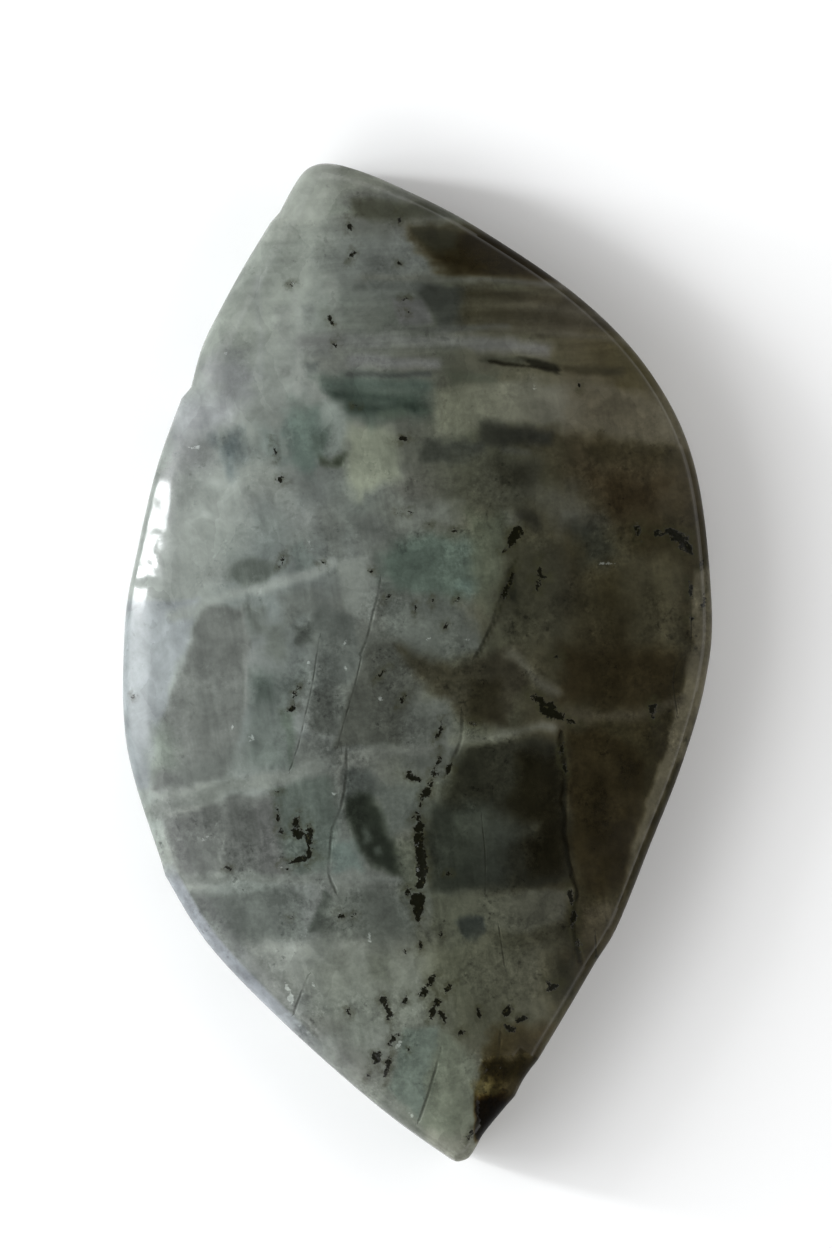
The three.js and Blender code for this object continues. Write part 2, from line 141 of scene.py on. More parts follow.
# Zones of the feldspar, laid one over the other. Each has the softness of its edge, its lightness,
# gold, rust and strength in hundredths, and its corners.
ZONES = [
    # Pale left flank, partly the stone's colour and partly a painted sheen of the left lights, and
    # the cloudy top
    (1.2, (56, 2, -3, 85), [(-16, 17), (-13, 17), (-9.4, 9.7), (-9.6, 6), (-11.5, 3), (-12.3, 0.4),
     (-12.9, -2.4), (-13.8, -6.1), (-16, -8)]),
    (1.2, (54.5, 4, -3, 85), [(-9, 27), (-3.6, 27), (-4.3, 22), (-5, 18), (-9, 12), (-13, 14)]),
    (0.9, (45.5, 2, -3, 65), [(-12, 15.8), (-8.5, 16.6), (-5.4, 17.6), (-4.8, 12.8), (-9, 12),
     (-11.5, 13.4)]),
    (0.5, (49, 2, -3, 80), [(-14, 10.5), (-12.2, 10.5), (-12, 7.5), (-13.6, 7.3)]),
    (0.6, (58, 4, -2, 80), [(-8.5, 27), (-3.4, 27), (-3.9, 24.6), (-5.2, 22.6), (-8, 22)]),
    (0.7, (60, -3, -1, 80), [(-11.3, 14.2), (-9.6, 13.4), (-9.9, 12.2), (-12.6, 11.4),
     (-13.2, 13.6)]),
    (0.6, (45, -2, -1, 85), [(-10.8, 15.4), (-9.6, 16), (-8.7, 15), (-8.8, 13.7), (-10, 13.6)]),
    (0.6, (47, -1, -1, 70), [(-12.2, 11.6), (-10.6, 11.6), (-10.3, 10.2), (-12.6, 10)]),
    (0.5, (36, -2, -8, 85), [(-10.6, 11.5), (-9.4, 11.7), (-9, 10.7), (-9.9, 9.9)]),
    (0.6, (46, 2, -8, 70), [(-8.4, 12), (-7.3, 12), (-7, 10.4), (-8, 10.6)]),
    (0.5, (37, 3, -12, 85), [(-6.9, 13), (-5.2, 13.2), (-4.9, 11), (-5.4, 10), (-6.6, 10.6)]),
    # Under the nose
    (0.22, (27, 13, -1, 95), [(-3.4, 24.1), (-2.4, 24.3), (0.9, 23.6), (0.9, 23.2), (-0.7, 22.95),
     (-2.3, 22.9), (-3.3, 23.3)]),
    (0.25, (50, 6, -4, 70), [(-4.6, 24), (-3.5, 23.9), (-3.4, 23.4), (-4.5, 23.4)]),
    (0.4, (48, 6, -2, 80), [(-4, 26.2), (-1, 25.6), (0.2, 24.4), (-3, 24.7), (-3.9, 24.4)]),
    (0.6, (41.5, 2, -3, 80), [(-4.3, 22.5), (-0.6, 22.4), (1.2, 20.4), (-0.5, 20), (-4, 20.2)]),
    (0.4, (36.5, 3, -3, 70), [(-3, 21.3), (-0.8, 21.2), (-0.6, 20.4), (-2.8, 20.3)]),
    (0.5, (12.5, 34, 14, 100), [(-0.55, 22.6), (2.1, 22.75), (4.5, 22.6), (6.8, 21.3), (8.6, 19.6),
     (4.7, 20.1), (2.4, 20.15), (1.2, 20.45), (0, 21.65)]),
    (0.3, (20, 16, 0, 85), [(-0.45, 22.6), (2.1, 22.65), (2, 21.4), (0.9, 21.3), (0.1, 21.7)]),
    (0.2, (23, 6, -3, 90), [(0.3, 19.7), (2.4, 19.6), (2.5, 17.3), (1.2, 17.2), (0.9, 18.2),
     (0.3, 18.9)]),
    (0.4, (23, 19, 4, 85), [(2.3, 19.8), (9.3, 19), (11, 17), (4, 17.2), (2.4, 17.4)]),
    (0.16, (37, 0, 0, 85), [(-1.2, 18.9), (0.3, 18.8), (0.7, 17.7), (-1, 17.6)]),
    (0.2, (44, 2, -2, 60), [(-7.4, 18.5), (-6.7, 18.5), (-6.7, 16.7), (-7.4, 16.7)]),
    (0.16, (41, 2, -3, 70), [(-6, 18.6), (-5.3, 18.6), (-5.3, 17.7), (-6, 17.7)]),
    (0.16, (41, 2, -2, 70), [(-6, 17), (-4.5, 17), (-4.5, 15.8), (-6, 15.8)]),
    (0.14, (33, 2, -4, 85), [(-5.9, 15.7), (-5.1, 15.7), (-5.15, 15.05), (-5.9, 15)]),
    (0.14, (40, 2, -2, 70), [(-7.3, 15.5), (-6.8, 15.5), (-6.8, 15), (-7.3, 15)]),
    # Round the teal bands of the upper middle
    (0.4, (40, 5, -10, 75), [(-6.7, 13.7), (-5.1, 13.4), (-4.9, 11), (-5.5, 10.1), (-6.5, 10.6)]),
    (0.25, (47, 3, -5, 90), [(-5, 13.6), (-4.1, 13.7), (-3.7, 12.8), (-3.8, 11.2), (-4.5, 10.9),
     (-5, 12)]),
    (0.35, (48.5, 10, -3, 95), [(-3.6, 12.4), (-1.4, 12.4), (-0.9, 11.6), (-1, 9.4), (-3, 8.6),
     (-3.9, 9.6)]),
    (0.16, (23, 14, -7, 85), [(-5.1, 10.95), (-4.5, 10.6), (-3.9, 11), (-4, 10.5), (-4.6, 10.2),
     (-5, 10.4)]),
    (0.2, (33, 6, -10, 80), [(-5.6, 11.9), (-4.9, 11.9), (-4.9, 10.9), (-5.4, 10.8)]),
    (0.45, (31, 7, -10, 80), [(-5.2, 14.8), (-1, 14.8), (0.9, 14.4), (0.7, 12.7), (-1.4, 12.7),
     (-2.4, 12.4), (-3.4, 12.8), (-3.8, 13.5)]),
    # Upper right
    (0.4, (41, 12, -1, 85), [(0.9, 14.2), (4, 14.8), (9, 14.6), (13, 13.4), (13.8, 11.4), (7, 12.2),
     (3.2, 12.1), (1, 12)]),
    (0.8, (32, 20, 4, 85), [(8, 14.8), (13, 14), (14.8, 10), (14, 11), (8, 12)]),
    (0.2, (29, 13, -4, 80), [(1.7, 15.1), (4.3, 15), (4, 14.5), (1.7, 14.5)]),
    (0.1, (13, 20, 0, 90), [(5.2, 15.9), (6.4, 15.75), (7.3, 15.5), (7.2, 15.1), (6, 15.35)]),
    (0.1, (22, 15, -2, 70), [(3.2, 15.75), (5.4, 15.8), (5.4, 15.55), (3.2, 15.6)]),
    (0.14, (20, 25, 4, 85), [(7.4, 15.45), (9, 15.3), (10.8, 15.3), (10.6, 14.9), (8.4, 15)]),
    (0.25, (18, 12, -2, 92), [(3, 12.5), (5, 12.35), (7.05, 12), (7.05, 11.35), (5, 11.2),
     (2.9, 11.3)]),
    (0.2, (22, 8, -3, 90), [(0.4, 11.5), (3.3, 11.5), (3.3, 10.8), (2.6, 10.3), (0.4, 10.4)]),
    (0.6, (26.5, 14, -1, 85), [(2.3, 10.8), (6.3, 10.7), (6.5, 8.6), (4.5, 7.8), (2, 8.5)]),
    (0.35, (17, 18, 0, 80), [(4, 10.3), (6.3, 10.3), (6.1, 9.1), (4.3, 9)]),
    (0.8, (25.5, 25, 8, 85), [(8.3, 11.2), (10, 10.8), (15.2, 9.8), (15.2, 7.6), (12, 7.3),
     (9, 7.9), (8, 9.5)]),
    (0.7, (15, 33, 14, 75), [(9.3, 9.9), (12.6, 9.5), (12.2, 7.6), (10, 7.7)]),
    (0.6, (28, 14, -1, 85), [(6.3, 9.4), (8.4, 9.2), (10, 7), (7.4, 6.6), (6.3, 7.9)]),
    (0.15, (31, 12, -2, 80), [(7.5, 7.95), (8.5, 7.85), (8.4, 7.5), (7.6, 7.5)]),
    (0.15, (38, 10, -2, 85), [(4.4, 7.8), (5.5, 7.7), (5.4, 7), (4.5, 7.1)]),
    # Middle left
    (0.16, (39, 2, -2, 90), [(-11.2, 3.1), (-8.9, 2.8), (-8.7, 0.6), (-8.9, -2.4), (-10, -6),
     (-13.8, -6.6), (-12.9, -2.4), (-12.2, 0.4)]),
    # Pale bluish strip along the left bulge: partly the stone's colour, partly a painted reflection
    # of the left lights
    (0.12, (55, -3, -3, 90), [(-11.3, 3.3), (-11.9, 2), (-12.25, 0.4), (-12.85, -0.8),
     (-12.95, -2.4), (-13.6, -4.2), (-14, -6.5), (-16, -7), (-16, 3.4)]),
    (0.4, (46, 6, -6, 80), [(-13.7, -3.2), (-12.6, -3.4), (-12.5, -5.6), (-13.9, -6)]),
    (0.4, (39.5, 2, -3, 80), [(-13.8, -6.2), (-11, -4.8), (-8.2, -3.6), (-7.8, -5), (-9.5, -5.6),
     (-13, -6.9)]),
    (0.16, (38, 4, -5, 90), [(-10, 4.5), (-9.65, 5), (-8.7, 5.6), (-8.2, 5.5), (-7.4, 5.1),
     (-7.4, 4.6), (-8.1, 4.1), (-9.1, 4)]),
    (0.14, (40, 2, -6, 85), [(-6.6, 5.9), (-6, 6.4), (-5.4, 5.5), (-5.4, 4.9), (-6.4, 4.8)]),
    (0.25, (36, 3, -3, 90), [(-3.3, 7.5), (-2.2, 7.8), (-1.4, 6.7), (-2, 6.1), (-3.1, 6.3)]),
    (0.35, (38, 3, -3, 80), [(-4.9, 7.9), (-3.9, 7.7), (-3.8, 5.5), (-4.6, 5.4)]),
    (0.35, (38, 3, -3, 80), [(-7, 3.8), (-4.9, 3.8), (-4.8, 2.4), (-6.8, 2.2)]),
    (0.3, (36, 4, -4, 85), [(-8.9, 3), (-8, 3), (-7.9, 1.6), (-8.7, 1.6)]),
    (0.35, (36, 4, -4, 85), [(-8, 2.1), (-6.9, 2.1), (-6.7, 0.2), (-7.9, 0.3)]),
    (0.22, (25, 4, -4, 90), [(-6.4, 2.1), (-5.4, 2), (-5.3, 1), (-6.3, 0.9)]),
    (0.5, (38.5, 3, -6, 75), [(-8.7, -0.6), (-6, -0.6), (-6.4, -5.2), (-9.3, -5.4)]),
    (0.35, (29, 3, -3, 80), [(-5.1, 0.2), (-4.1, 0.1), (-4.3, -3.3), (-5.5, -3.3)]),
    (0.15, (33, 8, -9, 70), [(-6.9, -2.6), (-6.2, -2.6), (-6.35, -5.3), (-6.7, -5.3)]),
    (0.3, (34, 4, -8, 80), [(-8.4, -0.8), (-7.5, -0.8), (-7.4, -2.1), (-8.3, -2.1)]),
    (0.3, (33.5, 3, -4, 85), [(-5.2, 2.9), (-3.2, 2.4), (-2.9, 0.4), (-3.6, -1.2), (-5.3, -1.2)]),
    (0.35, (28, 4, -3, 85), [(-5.4, -1.4), (-4.1, -1.4), (-4.1, -3.6), (-5.5, -3.6)]),
    (0.09, (44, 3, -3, 95), [(-4.2, 5.3), (-3.8, 5.5), (-2.7, 5.5), (-2.1, 4.7), (-2.05, 3.6),
     (-2.45, 2.3), (-3, 2.35), (-3.6, 2.55), (-3.95, 3.2), (-3.8, 4.1)]),
    (0.3, (38.5, 3, -6, 70), [(-8.5, -4), (-7.4, -4.2), (-6.5, -5.3), (-8.6, -5.4)]),
    (0.3, (38, 3, -3, 85), [(-6.2, -3.8), (-4.2, -3.9), (-4.1, -5.6), (-6.5, -5.9)]),
    # Middle
    (0.16, (29, 6, -2, 90), [(-2.9, 0.6), (-1.4, 1.4), (0.3, 1.2), (1, -0.4), (0, -2.4),
     (0.2, -4.2), (-4.2, -4.5), (-3.8, -3)]),
    (0.35, (20, 18, 4, 90), [(-1.2, 1), (1.8, 0.2), (5.2, 0.8), (5.6, -1), (4.4, -3.3), (2.2, -3),
     (0.6, -1.2)]),
    (0.3, (15, 24, 5, 80), [(2.8, -0.9), (4.3, -1), (4.5, -3), (2.9, -3.1)]),
    (0.4, (35, 7, -12, 85), [(-0.9, 6.5), (1, 6.7), (3.2, 6.3), (3.4, 4.2), (2.6, 3.3), (-0.9, 3.5),
     (-2, 4.5), (-1.8, 5.6)]),
    (0.18, (38, 6, -12, 80), [(2, 4.2), (3.2, 4.2), (3.3, 3.5), (2, 3.5)]),
    (0.4, (33, 15, -5, 90), [(2.7, 7.6), (4.5, 7.6), (4.4, 4.6), (3.5, 2.6), (3.1, 4.2)]),
    (0.35, (33.5, 4, -4, 85), [(-1.9, 3.4), (2.6, 3.2), (3.2, 0.7), (0.8, 0.3), (-1.6, 1.6)]),
    (0.4, (44, 4, -3, 70), [(-1.2, 8.4), (2, 8.2), (2.1, 7), (-1.2, 6.6)]),
    (0.35, (33.5, 4, -3, 85), [(-0.6, -1.8), (1.8, -1.8), (2.2, -4), (1.4, -6), (-0.6, -6)]),
    # Right side
    (0.6, (20, 20, 0, 85), [(5.1, 6.3), (7.6, 6.4), (7.7, 1.2), (5, 1.2), (4.4, 3)]),
    (0.7, (18, 14, -6, 70), [(8.2, 7.2), (9.6, 6.8), (10.4, 5.6), (8.8, 4.9)]),
    (0.6, (25.5, 24, 2, 85), [(10.6, 6), (14, 5.4), (14.2, 0.4), (11, 0.2)]),
    (0.5, (16.5, 33, 10, 85), [(7.6, 0.9), (13.4, 0.5), (13.2, -2.1), (7.6, -2.1)]),
    (0.12, (34.5, 20, 3, 92), [(14.3, 4.8), (15.6, 5), (15.6, -1), (14, -4), (12.6, -7.5),
     (11.2, -11), (10.6, -11.8), (12.6, -5.5), (13.5, -2), (14.2, 1)]),
    (0.3, (16, 17, -1, 97), [(2.5, -4.4), (3.9, -4.1), (5.6, -4), (7.3, -4.3), (7.75, -5.5),
     (7.8, -8), (7.7, -9.4), (8.1, -11.4), (6.3, -11.7), (3.9, -11.7), (0.8, -11.7), (0.4, -9.1),
     (1.3, -7)]),
    (0.5, (21, 10, -6, 85), [(0.8, -7.3), (3.9, -7.2), (4.6, -9), (4.3, -11.8), (0.9, -11.9),
     (0.5, -9.2)]),
    (0.45, (10.5, 30, 5, 90), [(5.1, -4.8), (7.4, -4.9), (7.7, -9.4), (7.6, -11), (5.8, -10.8),
     (5.2, -8)]),
    (0.35, (26, 10, -5, 60), [(1.8, -8), (3.6, -7.9), (6.3, -8.4), (6.2, -9.2), (3.8, -9.3),
     (2, -9)]),
    (0.3, (15.5, 34, 10, 93), [(7.9, -3.6), (9.4, -3.4), (10.6, -4), (11.6, -4.8), (12, -6),
     (11.7, -7.8), (11.2, -9.7), (10.8, -11.4), (9.4, -12.1), (8.4, -11.4), (8, -9)]),
    (0.35, (12, 35, 10, 80), [(10.3, -4.7), (11.6, -5), (11.6, -6.5), (10.4, -6.4)]),
    (0.3, (13, 34, 10, 80), [(9.1, -5.8), (9.9, -6), (9.8, -10), (9, -10)]),
    (0.22, (32, 13, -2, 85), [(0.6, -11.9), (8, -11.9), (7.8, -13.6), (6.4, -14), (0.5, -14)]),
    (0.35, (26, 22, 5, 90), [(8.4, -12.5), (10.6, -12.2), (10, -14.8), (8.6, -14.8)]),
    (0.35, (21, 20, 0, 80), [(6.3, -13.9), (8.2, -13.6), (8.3, -15.1), (6.4, -15.1)]),
    (0.35, (19, 22, 0, 85), [(6.9, -15.5), (8.3, -15.3), (8.4, -17.4), (7, -17.4)]),
    (0.12, (20, 6, -6, 92), [(1.95, -13.6), (2.3, -13.2), (3.3, -13.25), (3.5, -14), (3, -14.5),
     (2.2, -14.3)]),
    # Lower left
    (0.18, (35, 2, -2, 90), [(-13, -7.9), (-9, -6.9), (-5.8, -6.3), (-5.8, -10.95),
     (-12.3, -10.95)]),
    (0.25, (31, 2, -2, 85), [(-9.9, -7.9), (-8.6, -7.6), (-8.5, -10.9), (-9.9, -10.8)]),
    (0.22, (33, 1, -1, 85), [(-8.4, -7.2), (-7.5, -7), (-7.3, -10.8), (-8.3, -10.8)]),
    (0.3, (35, 5, -8, 80), [(-7.4, -6.3), (-4.3, -5.9), (-4.1, -9.4), (-4.6, -10.9),
     (-6.8, -10.9)]),
    (0.3, (27, 3, -5, 85), [(-3.75, -5.5), (-2.6, -5.6), (-1.9, -7), (-3.3, -8), (-3.9, -7.2)]),
    (0.22, (15.5, 12, -8, 92), [(-3.6, -7.1), (-2.6, -6.9), (-1.95, -7.6), (-1.4, -9),
     (-0.8, -10.2), (-0.7, -11.3), (-1.8, -10.7), (-2.4, -10.4), (-2.9, -9.9), (-3.3, -8.9),
     (-3.9, -8.1)]),
    (0.16, (34, 5, -6, 70), [(-2.85, -8.8), (-2.5, -8.6), (-2.3, -9.4), (-2.7, -9.5)]),
    (0.16, (30, 5, -6, 75), [(-2.3, -9.7), (-1.9, -9.6), (-1.8, -10), (-2.2, -10.1)]),
    (0.3, (33, 4, -5, 80), [(-2.2, -6.4), (0.4, -6.2), (0.3, -8.4), (-1.3, -9)]),
    (0.22, (39, 3, -10, 80), [(-4.4, -9.4), (-3.3, -9.3), (-2.8, -10.9), (-4.4, -10.9)]),
    (0.3, (33, 12, -4, 70), [(-1, -9.2), (0.1, -9), (0.2, -12.4), (-1, -12)]),
    (0.3, (33, 3, -4, 85), [(-12.1, -11.9), (-5.8, -11.8), (-6.2, -14.6), (-9.6, -14.9),
     (-11.2, -13)]),
    (0.3, (36, 3, -4, 80), [(-9.6, -12.9), (-8.5, -12.8), (-8.4, -14.6), (-9.4, -14.6)]),
    (0.1, (28, 5, -5, 92), [(-5, -11.8), (-4.6, -12.2), (-4.5, -13.8), (-5.8, -14.1),
     (-5.35, -13)]),
    (0.4, (32, 5, -4, 80), [(-4.3, -11.9), (0.2, -11.9), (-0.4, -14.6), (-5, -14.2)]),
    (0.4, (51, 3, -2, 85), [(-9.3, -14.5), (-5.4, -14.4), (-5.6, -17.4), (-7.4, -17.6)]),
    (0.12, (49, 4, -2, 85), [(-3.75, -14.5), (-2.6, -14.4), (-2.5, -15.6), (-3, -16.1),
     (-3.7, -16)]),
    (0.25, (37, 12, -3, 80), [(-2.6, -15.2), (-1.6, -15.3), (-1.6, -16.6), (-2.6, -16.5)]),
    (0.3, (50, 3, -2, 70), [(-8.2, -16.4), (-6.5, -16.3), (-6.4, -17.9), (-7.7, -17.6)]),
    (0.4, (42, 4, -1, 75), [(-6.3, -18.2), (-3.6, -18.2), (-3.7, -19.7), (-5.4, -19.6)]),
    (0.25, (37, 3, -1, 80), [(-4.3, -19.9), (-3.5, -19.9), (-3.2, -20.9), (-4.1, -20.8)]),
    (1, (41, 6, -3, 65), [(-5, -14.4), (0, -14.4), (3, -16), (3, -19), (0.5, -19), (-3.4, -20),
     (-6.2, -17.8)]),
    # Lower right and tip
    (0.8, (32, 15, -1, 80), [(0.3, -14.4), (6.8, -14.6), (6.6, -19.8), (3, -20), (1, -18)]),
    (0.16, (38.5, 6, -8, 90), [(-1.5, -22.2), (-0.95, -20.1), (-0.5, -19.2), (1.2, -18.9),
     (1.1, -20.4), (0.6, -22), (0.15, -23.6), (-0.95, -22.8)]),
    (0.2, (43, 10, -4, 90), [(1.2, -18.9), (2.7, -20.1), (3.3, -20.7), (3, -22.4), (3.2, -23.9),
     (2.9, -25.4), (1.8, -25.6), (0.6, -24.5), (0.15, -23.6), (0.6, -22), (1.1, -20.4)]),
    (0.3, (38, 10, -5, 70), [(1.2, -19.2), (1.7, -19.6), (1.2, -22), (0.4, -23.8), (0.3, -23.2),
     (0.9, -21)]),
    (0.35, (48, 7, 0, 90), [(0.4, -24.3), (2.9, -24.4), (3.4, -26.4), (1.2, -26.4)]),
    (0.4, (22, 30, 10, 95), [(3.9, -19.1), (6.9, -18.8), (6.4, -21.1), (3.5, -21.1)]),
    (0.1, (13, 40, 12, 100), [(3.4, -20.9), (4.3, -20.6), (6.3, -20.6), (6, -22), (4.8, -23.3),
     (3.3, -24.6), (3.25, -23.9), (3.05, -23), (3, -22.3), (3.4, -21.7)]),
    (0.08, (5, 50, 30, 100), [(3.05, -22.4), (4.5, -22.6), (4.7, -23.2), (3.6, -24.8), (3.1, -24.7),
     (3.1, -23.4)]),
    (0.2, (37, 30, 7, 85), [(3, -21.7), (3.6, -21.9), (3.65, -22.45), (3.1, -22.6)]),
    (0.25, (28, 28, 10, 75), [(4.3, -21.8), (5.1, -21.7), (5.2, -22.5), (4.5, -22.6)]),
    (0.25, (10, 40, 15, 70), [(3.6, -20.8), (4.4, -20.7), (4.3, -21.5), (3.8, -21.5)]),
]

# Healed cracks and pale veins: the width, the softness of the sides, lightness, gold, rust and
# strength in hundredths, and the line
VEINS = [
    (0.75, 0.24, (46, 3, -3, 93), [(-14.2, -7.9), (-12.5, -7.3), (-10.8, -6.8), (-9.3, -6.4),
     (-7.7, -5.9), (-6.1, -5.6), (-4.2, -5.2)]),
    (0.55, 0.3, (40, 4, -2, 80), [(-3.9, -5), (-1.7, -4.7), (0.1, -4.4), (1.9, -4.1)]),
    (0.6, 0.3, (38.5, 10, -2, 80), [(1.9, -4.1), (4, -3.8), (7, -3.3)]),
    (0.5, 0.35, (26, 20, 4, 80), [(7.4, -2.9), (8.4, -2.75), (10.4, -2.6), (12.4, -2.4),
     (13.6, -2)]),
    (0.45, 0.16, (40, 3, -3, 85), [(-12.4, -11.2), (-9.9, -11.2), (-7.4, -11.2), (-4.9, -11.2),
     (-2.6, -11.2), (-1, -11.3)]),
    (0.6, 0.22, (56, 2, -3, 85), [(-12.8, 2.5), (-11.4, 2.9), (-9.3, 3.7), (-7.5, 4.1), (-5.9, 4.6),
     (-4.5, 5.25)]),
    (0.5, 0.3, (35, 12, 0, 75), [(4.6, 0.3), (5.4, -0.1), (6.2, -0.9), (7.3, -1.6)]),
    (0.7, 0.4, (15, 15, 0, 70), [(5.4, 7.6), (6.1, 7.2)]),
    (0.3, 0.2, (12, 15, -2, 80), [(4.95, 4.7), (4.7, 3.3)]),
    (0.14, 0.12, (50, 2, -2, 70), [(-9.1, 2.9), (-8.95, 1.8), (-8.85, 0.6), (-8.9, -0.8),
     (-9, -2.3)]),
    (0.1, 0.1, (47, 3, -2, 60), [(-10.05, -8.8), (-10.3, -10), (-10.5, -11)]),
    (0.35, 0.2, (52, 2, -2, 55), [(-6.3, 19.2), (-6.25, 16.5), (-6.3, 14)]),
    (0.45, 0.2, (49, 3, -2, 50), [(-4.3, 19.2), (-4.3, 17.2)]),
    (0.3, 0.2, (54, 0, -2, 40), [(-8.3, 20), (-8.3, 15)]),
    (0.4, 0.25, (39, 5, -2, 40), [(-2.2, 22.85), (0.5, 22.95), (2.6, 23.2)]),
    (0.3, 0.2, (35, 6, -1, 75), [(-3, 19.95), (1, 19.95), (4, 19.9), (7.8, 19.6)]),
    (0.3, 0.2, (30, 3, -3, 75), [(-3, 19.5), (-1.5, 19.5), (0.3, 19.45)]),
    (0.3, 0.16, (29, 4, -2, 70), [(-1.8, 17.4), (-0.3, 17.35), (1.2, 17.3), (4.6, 17.4)]),
    (0.7, 0.35, (41, 1, -1, 75), [(-6, 16.6), (-2, 16.75), (2, 16.65), (6.5, 16.3)]),
    (0.2, 0.15, (36, 1, -1, 70), [(-3.3, 16.45), (-1.7, 16.4)]),
    (0.5, 0.3, (42, -2, 0, 70), [(-3.5, 15.7), (-1, 15.6), (1, 15.5)]),
    (0.26, 0.12, (26, 3, -4, 85), [(-3.6, 14.95), (-1.5, 14.9), (0.6, 14.95)]),
    (0.4, 0.35, (29, 6, -12, 80), [(-4.9, 14.35), (-2, 14.4), (0.4, 14.35)]),
    (0.2, 0.14, (24, 6, -10, 80), [(-4.9, 14), (-3.8, 13.95)]),
    (0.3, 0.35, (22, 8, -14, 85), [(-4.4, 13.85), (-2, 13.75), (0, 13.6)]),
    (0.5, 0.3, (26, 10, -12, 80), [(-0.6, 13.4), (0.4, 13.1)]),
    (0.4, 0.3, (18, 8, -14, 85), [(-3.5, 13.3), (-2, 13.2), (-0.2, 13.2)]),
    (0.5, 0.25, (33, 10, -9, 70), [(-1.7, 12.95), (-0.7, 12.95)]),
    (0.12, 0.12, (5, 35, 10, 90), [(7.45, -3.5), (7.5, -4.4), (7.65, -5.4), (7.65, -6.7),
     (7.6, -8.7), (7.8, -10.3), (8.25, -11.9), (8.1, -13.4), (8.25, -14.5), (8.6, -15.6)]),
    (0.1, 0.12, (10, 20, 0, 80), [(5.1, 5.4), (4.75, 4.2), (4.35, 3.2), (3.9, 2.2), (3.4, 1),
     (3.1, 0.4)]),
    (0.3, 0.16, (19, 24, 6, 60), [(2.6, 19.2), (6, 19), (9.2, 18.6)]),
    (0.25, 0.16, (29, 17, 3, 60), [(3, 18.6), (6.5, 18.5), (9.8, 18)]),
    (0.3, 0.16, (20, 22, 5, 60), [(2.8, 18.1), (6, 18.05), (10, 17.4)]),
    (0.3, 0.2, (31, 15, 2, 60), [(4, 17.3), (7.5, 17.1), (10.8, 16.6)]),
    (0.16, 0.08, (12, 20, 2, 90), [(3.9, 15.6), (4.9, 15.5), (5.9, 15.4), (7.3, 15.25)]),
    (0.16, 0.1, (46, 3, -5, 60), [(-4.3, -9.4), (-4.1, -7.6), (-4.1, -5.9)]),
    (0.25, 0.2, (31, 8, -2, 70), [(4.4, 11.1), (5.1, 10.95), (5.8, 10.9)]),
]

# Cracks: the width and the line
CRACKS = [
    (0.09, [(-1.95, 4.25), (-2.1, 3.4), (-2.35, 2.5), (-2.6, 1.4), (-3, 0.4)]),
    (0.11, [(4.2, 3.2), (3.85, 2.1), (3.35, 1), (2.95, 0.3)]),
    (0.22, [(4.9, 4.6), (4.6, 4), (4.3, 3.3)]),
    (0.16, [(7.45, -3.7), (7.5, -4.4), (7.65, -5.4), (7.65, -6.7), (7.6, -8.7), (7.8, -10.3),
     (8.25, -11.9), (8.1, -13.4), (8.2, -14.5), (8.5, -15.5)]),
    (0.12, [(2.3, -2.6), (2.2, -4), (1.75, -5.1), (1.5, -5.7)]),
    (0.1, [(-3.7, -4.4), (-3.75, -6.1), (-4, -7.5), (-4.4, -8.5), (-4.55, -9.5), (-4.6, -11),
     (-4.25, -11.9)]),
    (0.06, [(-5.1, 1.3), (-5.45, -1), (-5.8, -2.6), (-6.2, -4.3), (-6.6, -5.5)]),
    (0.06, [(-2.9, 0.4), (-3.3, -1.3), (-3.8, -3), (-4.15, -4.4)]),
    (0.06, [(14.2, 3.7), (14.2, 0.9), (13.75, 0.35), (13.4, -0.3), (13.3, -1.2), (13.5, -2.6)]),
    (0.09, [(1.2, -20), (0.9, -21.2), (0.6, -22.2), (0.2, -23.4), (0.05, -23.8)]),
    (0.1, [(4.3, -19.2), (4.15, -20.6)]),
    (0.06, [(4.2, -13.7), (4.35, -14.7), (4.5, -15.7)]),
    (0.07, [(9.25, -14.2), (9.3, -15.3)]),
    (0.08, [(-5.7, -16.3), (-6.15, -17.4), (-6.45, -18.2)]),
    (0.05, [(3.3, -7.9), (3.5, -10), (3.5, -12)]),
]

